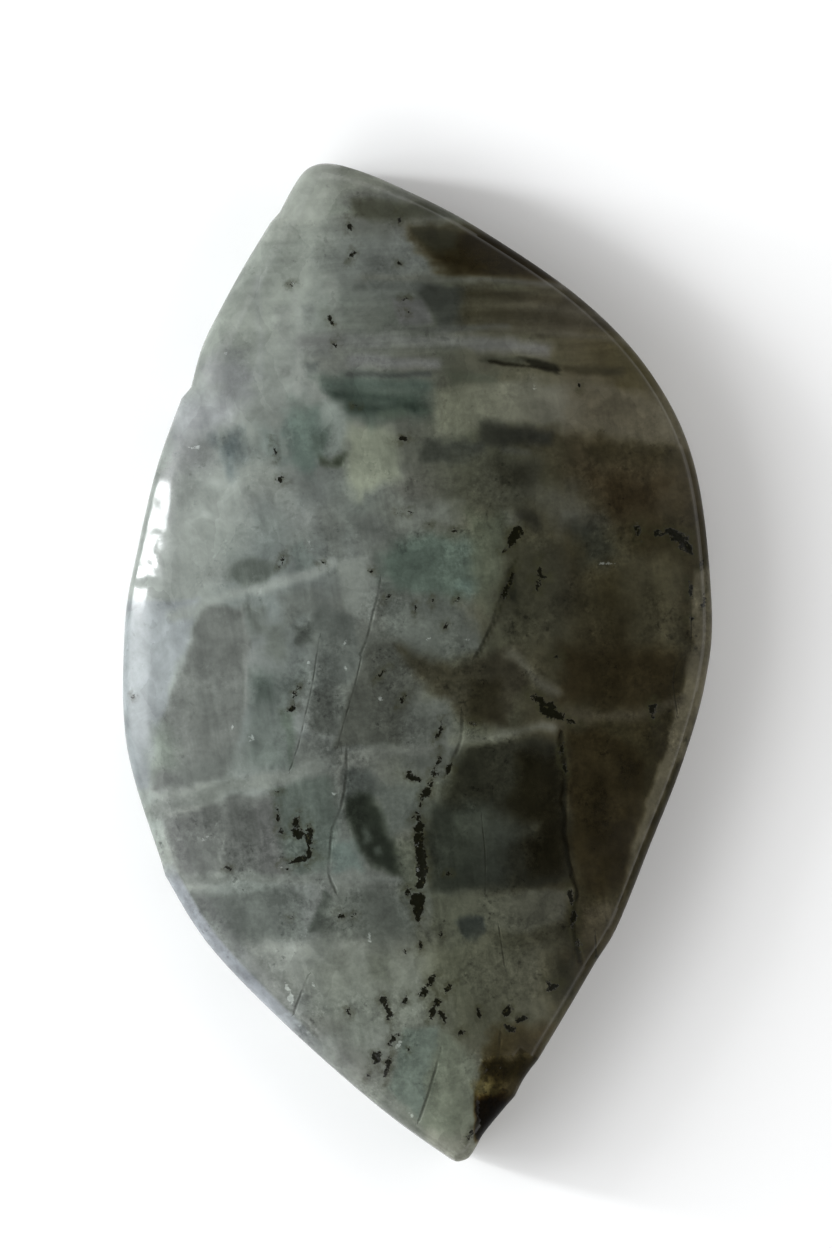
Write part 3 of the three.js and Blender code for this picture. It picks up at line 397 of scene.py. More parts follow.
# Black inclusions: middle, length and width in hundredths, turn of the long side in degrees, and
# depth of the pit in hundredths
INCLUSIONS = [
    (-3.5, 22.6, 22, 12, 100, 4), (-3.4, 21.15, 36, 18, 60, 8), (-6.5, 19.65, 20, 14, 20, 3),
    (-4.5, 17.75, 30, 12, 120, 2), (-4.3, 16.5, 22, 18, 40, 6), (-1, 23.1, 16, 8, 90, 2),
    (-1, 20.75, 14, 12, 0, 2), (-0.65, 18.9, 14, 10, 0, 2), (-0.65, 18.15, 14, 10, 0, 2),
    (-3.2, 13.3, 16, 12, 0, 2), (8.4, 14.3, 18, 12, 80, 2), (-0.85, 11.55, 50, 24, 15, 12),
    (-7.1, 9.5, 24, 16, 0, 2), (-7.4, 11.05, 30, 10, 100, 1), (-7, 5.3, 34, 13, 65, 8),
    (-4.93, 5.18, 22, 17, 0, 8), (-2.4, 4.73, 14, 12, 0, 3), (-1.55, 3.42, 18, 10, 40, 4),
    (-0.08, 2.65, 30, 11, 90, 4), (-0.95, 7.85, 13, 10, 0, 2), (-0.37, 7.8, 17, 13, 0, 4),
    (0.62, 7.17, 14, 10, 0, 2), (1.92, 6.85, 22, 12, 20, 4), (-6.33, -1.65, 42, 13, 68, 6),
    (-6.57, -2.4, 34, 20, 20, 10), (-14.8, -1.73, 14, 14, 0, 3), (0.8, 3.2, 17, 11, 90, 3),
    (2.1, 3.3, 24, 14, 60, 3), (1.45, 1.9, 16, 12, 30, 2), (5, 6.55, 90, 42, 55, 30),
    (5.25, 6.85, 40, 30, 0, 10), (4.8, 6.2, 50, 24, 100, 10), (4.45, 5.8, 22, 17, 0, 10),
    (4.65, 3.95, 100, 22, 66, 10), (6.33, 4.75, 50, 13, 95, 6), (6.27, 4.1, 45, 18, 85, 6),
    (6.45, 4.4, 30, 10, 10, 3), (11.45, 6.8, 62, 26, 95, 12), (12.4, 6.75, 38, 20, 15, 8),
    (13.2, 6.8, 60, 28, -5, 10), (13.5, 6.55, 50, 40, 0, 15), (13.9, 6.45, 30, 20, 40, 10),
    (13.95, 6, 80, 50, -35, 25), (14.2, 5.85, 30, 50, 0, 10), (14.8, 5.15, 25, 12, 60, 2),
    (14.2, 3.7, 40, 12, 95, 4), (14.8, 2.9, 18, 14, 0, 3), (14.2, 2.3, 16, 12, 0, 2),
    (7.3, 0.34, 26, 18, 0, 6), (6.3, -1.9, 80, 34, -30, 15), (6.75, -2.4, 90, 70, -30, 35),
    (7.15, -2.75, 90, 36, -15, 20), (7.7, -2.95, 50, 14, -20, 8), (12.25, -2.45, 50, 24, 100, 12),
    (1.1, -3.62, 45, 13, 70, 6), (2.9, -3.15, 20, 15, 0, 2), (-0.45, -5.75, 26, 16, 60, 6),
    (-0.2, -6, 50, 20, -20, 10), (-7.3, -6.7, 20, 13, 0, 4), (-7.2, -8.15, 34, 14, 95, 8),
    (-7.2, -7.7, 20, 9, 95, 4), (-7.05, -8.8, 24, 18, 0, 5), (-9.83, -10.7, 22, 18, 0, 4),
    (-6.8, -10.7, 18, 14, 0, 4), (-4, -13.1, 20, 16, 0, 5), (-3.3, -13.1, 18, 14, 60, 2),
    (-6.6, -13.2, 12, 10, 0, 3), (1.6, -10.96, 15, 13, 0, 4), (1.2, -14.1, 15, 13, 0, 4),
    (-0.63, -15, 14, 10, 0, 3), (0.14, -14.6, 24, 10, 90, 4), (-0.5, -11.8, 30, 22, 60, 12),
    (-3.58, -18.1, 30, 20, 110, 10), (-1.75, -17.55, 40, 38, 30, 15),
    (-1.52, -18.1, 75, 26, 105, 20), (-0.66, -17.5, 40, 20, 60, 4), (0.65, -16.55, 60, 26, 50, 10),
    (0.3, -17.05, 50, 36, 60, 15), (1.05, -17.6, 50, 16, 110, 8), (0.85, -18.1, 70, 28, 62, 12),
    (1.3, -18.35, 50, 18, 110, 8), (1.55, -16.95, 40, 20, 40, 3), (3.2, -18.2, 36, 16, 110, 10),
    (4.65, -18.15, 60, 34, 60, 5), (5.4, -18.52, 40, 20, 0, 10), (4.8, -19, 50, 30, -20, 14),
    (2.26, -19.2, 34, 24, 20, 6), (6.8, -16.6, 26, 18, 100, 6), (7.05, -16.85, 42, 20, 20, 10),
    (-2.15, -20.55, 55, 42, 100, 25), (-1.55, -21.05, 80, 20, 78, 15),
    (-1.35, -19.6, 42, 18, 70, 10), (-1.1, -19.35, 20, 12, 0, 5), (-2.55, -21.4, 20, 12, 60, 5),
    (-0.44, -20.06, 12, 9, 90, 3), (2.75, -24.65, 40, 17, 65, 10), (9.32, -15.3, 20, 14, 60, 4),
    (-6.3, -8.35, 75, 30, 65, 30), (-6.2, -8.9, 60, 45, 20, 40), (-5.62, -8.75, 50, 26, 80, 30),
    (-5.6, -9.5, 90, 14, 88, 20), (-6, -10.2, 95, 24, 12, 30), (-5.6, -9.95, 40, 26, 80, 30),
    (-0.75, -1.9, 30, 12, 50, 2), (-1.9, -0.6, 30, 10, 40, 2),
    # The seam below the middle
    (1.05, -5.2, 50, 14, 80, 10), (0.85, -5.7, 40, 30, 20, 15), (0.62, -6.3, 30, 20, 60, 15),
    (0.42, -6.75, 55, 34, 50, 20), (0.2, -7.3, 40, 12, 80, 15), (-0.05, -7.9, 35, 16, 50, 10),
    (0.05, -8.5, 65, 36, 70, 20), (0.08, -9.2, 70, 42, 90, 25), (0.15, -10, 110, 56, 92, 35),
    (0.22, -10.8, 100, 60, 84, 35), (0.2, -11.4, 50, 40, 60, 20), (-0.02, -12.3, 80, 72, 80, 12),
    (0.02, -12.95, 80, 45, 90, 12), (7.5, -4.5, 42, 16, 80, 3), (7.65, -5.5, 30, 12, 95, 2),
    (11.5, 6.75, 35, 20, 80, 3), (12.9, 6.8, 50, 20, 20, 3), (13.5, 6.6, 70, 30, 160, 5),
    (14.1, 6.1, 50, 30, 120, 4), (14.85, 3.4, 30, 15, 90, 2), (12.3, -2.4, 30, 16, 80, 2),
    (7.95, -12.1, 50, 16, 100, 3), (8.1, -13.3, 60, 24, 85, 5), (8.35, -14.6, 35, 14, 100, 2),
    (1.62, -5.45, 40, 22, 60, 5), (-0.5, -11.85, 36, 24, 60, 12),
]
INCLUSIONS = np.array(INCLUSIONS) / (1, 1, 100, 100, 1, 100)

# White chips of the stone, and glints that are painted highlights in pits and on edges: middle,
# length and width in hundredths, and turn
GLINTS = [
    (6.1, 14.3, 26, 20, 90), (-5.6, 6.2, 30, 14, 120), (-3.67, 1.1, 36, 10, 30),
    (-3.74, -0.3, 20, 16, 0), (-1.97, -1.87, 26, 22, 0), (-5.67, -0.03, 20, 16, 0),
    (-11.6, 11.2, 60, 20, 0), (9.85, 5.15, 50, 10, 0), (-7.1, -10.62, 26, 20, 70),
    (-5.67, -8.87, 26, 16, 60), (0.05, -9.35, 20, 12, 60), (0.05, -10.65, 30, 12, 60),
    (-6.75, -16.9, 60, 22, 110), (-6.6, -17.5, 55, 30, 80), (-5.4, -16.7, 30, 10, 100),
    (-2.5, -14.3, 30, 16, 100), (-11, -9.15, 45, 14, 30), (-0.95, -19.85, 45, 16, 70),
    (-0.3, -23.55, 30, 12, -40), (-10, 16, 20, 16, 0), (4.3, -21.05, 16, 12, 0),
    (-4.3, -6.8, 16, 14, 0), (-1.4, -8.1, 30, 20, 0), (0.6, 1.2, 16, 12, 0), (2.5, 1.2, 16, 12, 0),
    (-8.6, -3.9, 40, 22, 80), (-9.6, -3.35, 25, 20, 80),
]
GLINTS = np.array(GLINTS) / (1, 1, 100, 100, 1)

# Height field of the face
PIT_EDGE = 0.2
PIT_SHARE = 0.12
CRACK_DEPTH = 0.004
CHIP = [
    (3.2, -20.7), (4.3, -20.4), (6.5, -20.6), (6.5, -22), (4.6, -25), (3.2, -24.8), (3.25, -23.9),
    (3, -22.8), (3.4, -21.9),
]
CHIP_DEPTH = 0.03
CHIP_STEPS = 2.2
POLISH_WAVES = 0.012
DENT_DEPTH = 0.04
DENTED_X = (-12.6, -13.6)
DENTED_Y = 6.6
DENTED_REACH = (2.9, 2.1)
WORN_ABOVE = 0.06

# Measuring: the largest distance kept in a field, the same in half widths of the thinnest crack,
# how far outside a mark noise can move its edge, and steps for each point of a line
FAR = 2
FAR_SIDE = FAR / 0.05
MARGIN = 0.6
LINE_STEPS = 6
CURVE_STEPS = 32
NOISE_CELLS = 256


def smooth_curve(points, steps):
    """A smooth line through points, as steps + 1 points evenly spaced along it.

    Between each two points it is a cubic whose slope at a point is half the way from the point
    before to the point after. Both end points count twice.
    """
    knots = np.array([points[0], *points, points[-1]], float)
    before, start, end, after = (knots[i:len(knots) - 3 + i, None] for i in range(4))
    t = np.linspace(0, 1, CURVE_STEPS, endpoint=False)[:, None]
    leave, arrive = (end - before) / 2, (after - start) / 2
    cubic = (2 * start - 2 * end + leave + arrive) * t**3
    cubic = cubic + (-3 * start + 3 * end - 2 * leave - arrive) * t**2 + leave * t + start
    line = np.vstack([cubic.reshape(-1, 2), knots[-1:]])
    length = np.concatenate([[0], np.cumsum(np.hypot(*np.diff(line, axis=0).T))])
    even = np.linspace(0, length[-1], steps + 1)
    return np.column_stack([np.interp(even, length, line[:, axis]) for axis in (0, 1)])


def outline_points():
    """The outline as a closed row of about AROUND points, centred and stretched to the CAD box."""
    rough = [smooth_curve(stretch, 60) for stretch in STRETCHES]
    lengths = [np.hypot(*np.diff(line, axis=0).T).sum() for line in rough]
    steps = [max(2, round(AROUND * length / sum(lengths))) for length in lengths]
    line = np.vstack([smooth_curve(*pair) for pair in zip(STRETCHES, steps)])[:-1]
    low, high = line.min(0), line.max(0)
    return (line - (low + high) / 2) * (np.array([WIDTH, LENGTH]) / (high - low))


OUTLINE = outline_points()
COUNT = len(OUTLINE)


def in_chunks(measure, points, size=4000):
    """What measure says of the points, worked out for a few thousand of them at a time."""
    return np.concatenate([measure(points[i:i + size]) for i in range(0, len(points), size)])


def segment_distances(points, line):
    """For each point and each segment of the line: the distance, and the side, +1 on the left."""
    start, end = line[:-1], line[1:]
    along = end - start
    offset = points[:, None] - start
    part = np.clip((offset * along).sum(-1) / (along**2).sum(-1), 0, 1)
    apart = offset - part[..., None] * along
    side = np.sign(along[:, 0] * offset[..., 1] - along[:, 1] * offset[..., 0])
    return np.hypot(apart[..., 0], apart[..., 1]), side


def edge_depth(points):
    """The distance in from the edge of the stone."""
    closed = np.vstack([OUTLINE, OUTLINE[:1]])
    return in_chunks(lambda some: segment_distances(some, closed)[0].min(1), points)


def smooth_depth(points):
    """A depth inside the outline that has no crease along the middle.

    It is the cube root of a half turn over twice the sum of step / r^4, where r is the distance to
    each step of the outline.
    """
    following = np.roll(OUTLINE, -1, axis=0)
    middle = (OUTLINE + following) / 2
    step = np.hypot(*(following - OUTLINE).T)

    def measure(some):
        r = np.hypot(*(some[:, None] - middle).transpose(2, 0, 1))
        return np.cbrt(np.pi / 2 / (step / np.maximum(r, step.mean() / 4)**4).sum(1))

    return in_chunks(measure, points)


def spread(value, low, high):
    """0 below low, 1 above high, and a smooth rise between them. High may be the lower one."""
    t = np.clip((value - low) / (high - low), 0, 1)
    return t * t * (3 - 2 * t)


def noise(points, size, seed):
    """Noise from -1 to 1 with lumps of that size: random values on a grid, blended smoothly."""
    grid = np.random.default_rng(seed).uniform(-1, 1, (NOISE_CELLS, NOISE_CELLS))
    at = points / size + NOISE_CELLS / 4
    cell = np.floor(at).astype(int)
    x, y = spread(at - cell, 0, 1).T
    (i, j), (next_i, next_j) = cell.T % NOISE_CELLS, (cell.T + 1) % NOISE_CELLS
    low = grid[i, j] * (1 - x) + grid[next_i, j] * x
    high = grid[i, next_j] * (1 - x) + grid[next_i, next_j] * x
    return low * (1 - y) + high * y


def layered_noise(points, size, seed, layers=4):
    """Noise with each layer half the size and half the strength of the one before."""
    parts = [noise(points, size / 2**k, seed + k) / 2**k for k in range(layers)]
    return sum(parts) / (2 - 2**(1 - layers))


def warped(points, amount, size, seed):
    """The points, each moved by up to that amount, in a direction that changes over the face."""
    shift = [layered_noise(points, size, seed + 10 * axis, 3) for axis in (0, 1)]
    return points + amount * np.column_stack(shift)


def polygon_depth(points, corners):
    """The distance to the outline of a polygon, below 0 inside it."""
    closed = np.array([*corners, corners[0]], float)
    distance = segment_distances(points, closed)[0].min(1)
    x, y = points.T[..., None]
    (x0, y0), (x1, y1) = closed[:-1].T, closed[1:].T
    flat = np.where(y1 == y0, 1e-9, y1 - y0)
    crossed = ((y0 > y) != (y1 > y)) & (x < x0 + (y - y0) * (x1 - x0) / flat)
    return np.where(crossed.sum(1) % 2 == 1, -distance, distance)


def near_box(points, corners, margin):
    """The numbers of the points that lie in the box round the corners, widened by the margin."""
    low, high = np.min(corners, axis=0) - margin, np.max(corners, axis=0) + margin
    return np.flatnonzero(((points > low) & (points < high)).all(1))


def ellipse_depth(points, x, y, length, width, turn):
    """About the distance to the edge of an ellipse, below 0 inside it."""
    angle = np.radians(turn)
    dx, dy = points[:, 0] - x, points[:, 1] - y
    along = (dx * np.cos(angle) + dy * np.sin(angle)) / (length / 2)
    across = (dy * np.cos(angle) - dx * np.sin(angle)) / (width / 2)
    return (np.hypot(along, across) - 1) * width / 2


def ellipses_depth(points, ellipses):
    """The distance to the nearest of many ellipses, at most FAR."""
    depth = np.full(len(points), float(FAR))
    for x, y, length, width, turn in ellipses:
        here = near_box(points, [(x, y)], length + MARGIN)
        found = ellipse_depth(points[here], x, y, length, width, turn)
        depth[here] = np.minimum(depth[here], found)
    return depth


def crack_fields(points):
    """The signed distance to the nearest crack, in its half widths, and the plain distance."""
    side, near = np.full(len(points), FAR_SIDE), np.full(len(points), float(FAR))
    for width, line in CRACKS:
        here = near_box(points, line, 1)
        path = smooth_curve(line, LINE_STEPS * len(line))
        distance, sign = segment_distances(points[here], path)
        nearest = distance.argmin(1)[:, None]
        distance, sign = (np.take_along_axis(of, nearest, 1)[:, 0] for of in (distance, sign))
        closer = distance < near[here]
        near[here[closer]] = distance[closer]
        side[here[closer]] = (distance * sign)[closer] / (width / 2)
    return side, near


def body_fields(points):
    """Lightness, gold and rust of the feldspar under the polish.

    The ground is lighter on the left, partly in the stone's own colour and partly as painted light
    from the lights on the left. Zones and veins are laid over it one after the other, each by its
    own mask: 1 inside, 0 outside and a smooth step between, with its edge moved by noise.
    """
    x, y = points.T
    tone, gold, rust = (np.interp(x, *row) for row in (GROUND_TONE_AND_PAINTED_LIGHT, GROUND_GOLD, GROUND_RUST))
    tone += 0.07 * spread(y, 11, 16) * spread(x, 1, 6)
    tone += 0.05 * spread(y, -13, -17) * spread(x, -9, 0)
    tone += 0.03 * layered_noise(points, 2.5, 5)
    gold += 0.03 * layered_noise(points, 4, 9)
    rust += 0.025 * layered_noise(points, 3, 14)
    top = spread(y, 12, 15)
    shift = warped(warped(points, 0.28, 2.4, 21), 0.16, 0.8, 31) - points
    moved = points + shift * np.column_stack([np.ones(len(points)), 1 - 0.6 * top])
    fray = top * layered_noise(points * (0.2, 1), 0.45, 45, 3)
    fray += (1 - top) * layered_noise(points * (1, 0.5), 0.6, 47, 3)
    fray += 0.5 * layered_noise(points, 0.35, 55, 2)

    def lay(here, mask, look):
        *values, strength = np.array(look) / 100
        for field, value in zip((tone, gold, rust), values):
            field[here] += (value - field[here]) * (strength * mask)

    for soft, look, corners in ZONES:
        here = near_box(points, corners, soft + MARGIN)
        depth = polygon_depth(moved[here], corners) + (0.1 + 0.5 * soft) * fray[here]
        lay(here, spread(depth, 1.3 * soft, -1.3 * soft), look)
    for width, soft, look, line in VEINS:
        here = near_box(points, line, width + soft + MARGIN)
        path = smooth_curve(line, LINE_STEPS * len(line))
        distance = segment_distances(moved[here], path)[0].min(1)
        distance += 0.3 * width * layered_noise(points[here], 1.1, 41, 3)
        lay(here, spread(distance, width / 2 + soft, width / 2 - soft), look)
    depth = edge_depth(points)
    # Painted reflection of the left lights: a pale bluish band along the lower left edge
    bevel = spread(depth, BEVEL_REFLECTION_BAND + 0.08, BEVEL_REFLECTION_BAND - 0.08)
    lay(slice(None), bevel * spread(y, -10.2, -11.6) * spread(x, -4, -8), BEVEL_REFLECTION_LOOK)
    tone *= 1 - LEFT_RIM_SHADE * spread(depth, 3.2, 1) * spread(x, -3, -7)
    blotches = layered_noise(warped(points, 0.7, 1.5, 111), 1.6, 115, 5)
    tone *= BODY_SHADE * (1 + (0.18 - 0.08 * top) * blotches)
    return tone, gold + np.interp(x, *ADDED_GOLD), rust + np.interp(x, *ADDED_RUST)


def chip_share(points):
    """1 in the chipped patch beside the tip and 0 outside it."""
    return spread(polygon_depth(warped(points, 0.2, 0.7, 51), CHIP), 0.15, -0.2)


def face_height(points, dome_reach):
    """Height of the polished face.

    A rounded shoulder, a quarter of an ellipse that is narrow on the right and widens towards the
    left, carries a low dome. Out of them go waves and dents, pits, cracks and the chip.
    """
    x, y = points.T
    width = SHOULDER_WIDTH + LEFT_SHOULDER_EXTRA * np.maximum(0, -x / (WIDTH / 2))
    rounded = np.sqrt(1 - (1 - np.minimum(1, edge_depth(points) / width))**2)
    rise = 1 - (1 - np.minimum(1, smooth_depth(points) / dome_reach))**2
    height = GIRDLE_HEIGHT + (SHOULDER_HEIGHT - GIRDLE_HEIGHT) * rounded
    height = height + (THICKNESS - SHOULDER_HEIGHT) * rise
    cut = POLISH_WAVES * rounded * (1 - layered_noise(points, 5, 61, 2))
    dented = spread(x, *DENTED_X) * spread(abs(y - DENTED_Y), *DENTED_REACH)
    dents = 1 + layered_noise(points, 1, 67, 2) + 0.3 * layered_noise(points, 0.45, 69, 2)
    cut += DENT_DEPTH * dented * dents
    for *ellipse, depth in INCLUSIONS:
        here = near_box(points, [ellipse[:2]], ellipse[2] + PIT_EDGE)
        inside = spread(ellipse_depth(points[here], *ellipse), 0, -PIT_EDGE)
        cut[here] = np.maximum(cut[here], PIT_SHARE * depth * inside)
    near = crack_fields(points)[1]
    cut = np.maximum(cut, CRACK_DEPTH * spread(near, 0.15, 0.02))
    steps = np.round(CHIP_STEPS * (1 + layered_noise(points, 1.1, 91, 3))) / CHIP_STEPS
    relief = 0.35 + steps + 0.25 * layered_noise(points, 0.45, 95, 3)
    chip = chip_share(points) * CHIP_DEPTH * relief
    return height - np.maximum(cut, np.minimum(chip, height - BELT_HEIGHT - 0.1))


def inwards(distance, part):
    """A ring: the outline moved in by a distance, then by a part of what is left to the spine."""
    along = np.clip(0.5 + SPINE_REACH * OUTLINE[:, 1] / LENGTH, 0, 1)
    places = np.linspace(0, 1, SPINE_STEPS + 1)
    spine = smooth_curve(SPINE, SPINE_STEPS).T
    way = np.column_stack([np.interp(along, places, axis) for axis in spine]) - OUTLINE
    step = np.minimum(distance / np.hypot(*way.T), 0.4)
    return OUTLINE + way * (step + (1 - step) * part)[:, None]


def across_ring(points):
    """Triangles across a flat ring, each joining on to the side that lags behind in y."""
    left = int(points[:, 1].argmin())
    right = (left + 1) % COUNT
    triangles = []
    while len(triangles) < COUNT - 2:
        next_right, next_left = (right + 1) % COUNT, (left - 1) % COUNT
        right_lags = points[next_right, 1] < points[next_left, 1]
        triangles.append((left, right, next_right if right_lags else next_left))
        left, right = (left, next_right) if right_lags else (next_left, right)
    return np.array(triangles)


def stone_rings():
    """The rings of the stone from the middle of the back, over the edge, to the top of the dome.

    With them come the numbers of the wall's first ring and the face's first ring.
    """
    dome_reach = smooth_depth(smooth_curve(SPINE, 40)).max()
    back = [(WALL[-1][0], part) for part in np.linspace(LAST_PART, 0.02, BACK_RINGS)]
    below = [(*place, 0) for place in back] + [(inset, 0, z) for inset, z in WALL[::-1]]
    face = [(LAST_INSET * t, 0) for t in np.linspace(0, 1, SHOULDER_RINGS)]
    face += [(LAST_INSET, LAST_PART * t) for t in np.linspace(0, 1, DOME_RINGS + 1)[1:]]
    rings = np.array([np.insert(inwards(inset, part), 2, z, axis=1) for inset, part, z in below])
    plan = np.array([inwards(*place) for place in face])
    top = face_height(plan.reshape(-1, 2), dome_reach).reshape(len(face), COUNT, 1)
    top = np.minimum(top, THICKNESS)
    lowered = np.minimum(1, (top[0, :, 0] - BELT_HEIGHT) / (GIRDLE_HEIGHT - BELT_HEIGHT))
    z = rings[:, :, 2]
    rings[:, :, 2] = np.where(z > BELT_HEIGHT, BELT_HEIGHT + (z - BELT_HEIGHT) * lowered, z)
    rings = np.vstack([rings, np.concatenate([plan, top], axis=2)])
    return rings, len(back), len(below)


def stone_mesh():
    """The whole stone as one closed mesh, with its fields as attributes of the points."""
    rings, wall_start, face_start = stone_rings()
    levels = len(rings)
    corner = np.arange(levels * COUNT).reshape(levels, COUNT)
    following = np.roll(corner, -1, axis=1)
    quads = [corner[:-1], following[:-1], following[1:], corner[1:]]
    quads = np.stack(quads, axis=-1).reshape(-1, 4)
    bottom = across_ring(rings[0])[:, ::-1]
    top = across_ring(rings[-1]) + corner[-1, 0]
    places = rings.reshape(-1, 3)
    faces = quads.tolist() + bottom.tolist() + top.tolist()
    mesh = bpy.data.meshes.new("stone_face")
    mesh.from_pydata((places * MM).tolist(), [], faces)
    mesh.polygons.foreach_set("use_smooth", np.ones(len(faces), bool))

    plan, height = places[:, :2], places[:, 2]
    below = np.maximum(0, GIRDLE_HEIGHT - height)[:, None]
    tone, gold, rust = body_fields(plan * (1 - NARROWING * below) + below * DIP)
    side, near = crack_fields(plan)
    specks = ellipses_depth(warped(plan, 0.1, 0.35, 71), INCLUSIONS[:, :5])
    upper = np.repeat(np.arange(levels) >= face_start, COUNT)
    chip = chip_share(plan) * upper
    fields = {
        "tone": tone,
        "gold": gold,
        "rust": rust,
        "speck": np.where(upper, specks, FAR),
        "crack_side": np.where(upper, side, FAR_SIDE),
        "crack_near": np.where(upper, near, FAR),
        "glint": np.where(upper, ellipses_depth(plan, GLINTS), FAR),
        "chip": chip,
    }
    for name, values in fields.items():
        attribute = mesh.attributes.new(name, "FLOAT", "POINT")
        attribute.data.foreach_set("value", values.astype(np.float32))

    along, across = np.array(SPINE).T[::-1]
    right = plan[:, 0] > np.interp(plan[:, 1], along, across)
    worn = right & (height < SHOULDER_HEIGHT + WORN_ABOVE)
    finish = np.where(chip > 0.5, BROKEN_SLOT, POLISHED_SLOT)
    finish = np.where(worn, WORN_SLOT, finish)[quads[:, 0]]
    finish[:(wall_start + BEVEL_LEVELS) * COUNT] = GROUND_SLOT
    caps = np.repeat([GROUND_SLOT, POLISHED_SLOT], [len(bottom), len(top)])
    finish = np.concatenate([finish, caps]).astype(np.int32)
    mesh.polygons.foreach_set("material_index", finish)
    mesh.validate()
    mesh.update()
    return mesh


class Nodes:
    """A material's or a group's node tree, with short ways to add nodes and join them."""

    def __init__(self, tree):
        self.tree = tree

    def put(self, socket, value):
        """Joins an output to an input, or sets the input to a plain value."""
        if isinstance(value, bpy.types.NodeSocket):
            self.tree.links.new(value, socket)
        else:
            socket.default_value = value

    def add(self, kind, out=0, inputs=None, **settings):
        """Adds a node, sets it and gives its inputs. It returns an output, or for None the node."""
        node = self.tree.nodes.new(kind)
        for name, value in settings.items():
            setattr(node, name, value)
        for name, value in (inputs or {}).items():
            self.put(node.inputs[name], value)
        return node if out is None else node.outputs[out]

    def math(self, operation, *values, clamp=False):
        """A sum, a product or the like of values or outputs."""
        inputs = dict(enumerate(values))
        return self.add("ShaderNodeMath", inputs=inputs, operation=operation, use_clamp=clamp)

    plus = partialmethod(math, "ADD")
    minus = partialmethod(math, "SUBTRACT")
    times = partialmethod(math, "MULTIPLY")
    larger = partialmethod(math, "MAXIMUM")
    size = partialmethod(math, "ABSOLUTE")

    def vector_math(self, operation, **values):
        """The same with vectors or colours, for the inputs a, b, c and scale."""
        inputs = {"abc".find(name) if name in "abc" else 3: value for name, value in values.items()}
        return self.add("ShaderNodeVectorMath", inputs=inputs, operation=operation)

    def part(self, kind, name, vector):
        """One part of a vector (kind XYZ) or of a colour (kind Color)."""
        return self.add("ShaderNodeSeparate" + kind, out=name, inputs={0: vector})

    def fields(self, *names):
        """Attributes of the mesh, by the names of the sockets that they go into."""
        return {name: self.add("ShaderNodeAttribute", out="Fac",
                               attribute_name=name.lower().replace(" ", "_")) for name in names}

    def noise(self, vector, scale, detail=3.0, roughness=0.55, distortion=0.0, out=0):
        """Noise from 0 to 1."""
        inputs = {"Vector": vector, "Scale": scale, "Detail": detail, "Roughness": roughness,
                  "Distortion": distortion}
        return self.add("ShaderNodeTexNoise", out=out, inputs=inputs)

    def swing(self, *place_and_shape):
        """Noise from -0.5 to 0.5."""
        return self.minus(self.noise(*place_and_shape), 0.5)

    def placed(self, vector, scale, turn):
        """A coordinate turned about Z by degrees, then scaled."""
        turned = {"Vector": vector, "Rotation": (0, 0, np.radians(turn))}
        turned = self.add("ShaderNodeMapping", inputs=turned)
        return self.add("ShaderNodeMapping", inputs={"Vector": turned, "Scale": scale})

    def step(self, value, low, high, to_low=0.0, to_high=1.0):
        """A smooth rise from to_low at low to to_high at high."""
        inputs = {"Value": value, "From Min": low, "From Max": high, "To Min": to_low,
                  "To Max": to_high}
        return self.add("ShaderNodeMapRange", inputs=inputs, interpolation_type="SMOOTHSTEP")

    def mix(self, share, a, b):
        """Colour a where share is 0 and b where it is 1."""
        inputs = {0: share, 6: a, 7: b}
        return self.add("ShaderNodeMix", out=2, inputs=inputs, data_type="RGBA")


def new_group(name, inputs, outputs):
    """An empty node group with named sockets. It returns its Nodes, its inputs and its outputs."""
    tree = bpy.data.node_groups.new(name, "ShaderNodeTree")
    for way, sockets in (("INPUT", inputs), ("OUTPUT", outputs)):
        for socket, (kind, default) in sockets.items():
            made = tree.interface.new_socket(socket, in_out=way, socket_type="NodeSocket" + kind)
            if default is not None:
                made.default_value = default
    nodes = Nodes(tree)
    given = nodes.add("NodeGroupInput", out=None).outputs
    return nodes, given, nodes.add("NodeGroupOutput", out=None).inputs


VECTOR, COLOUR, FLOAT = ("Vector", None), ("Color", None), ("Float", None)


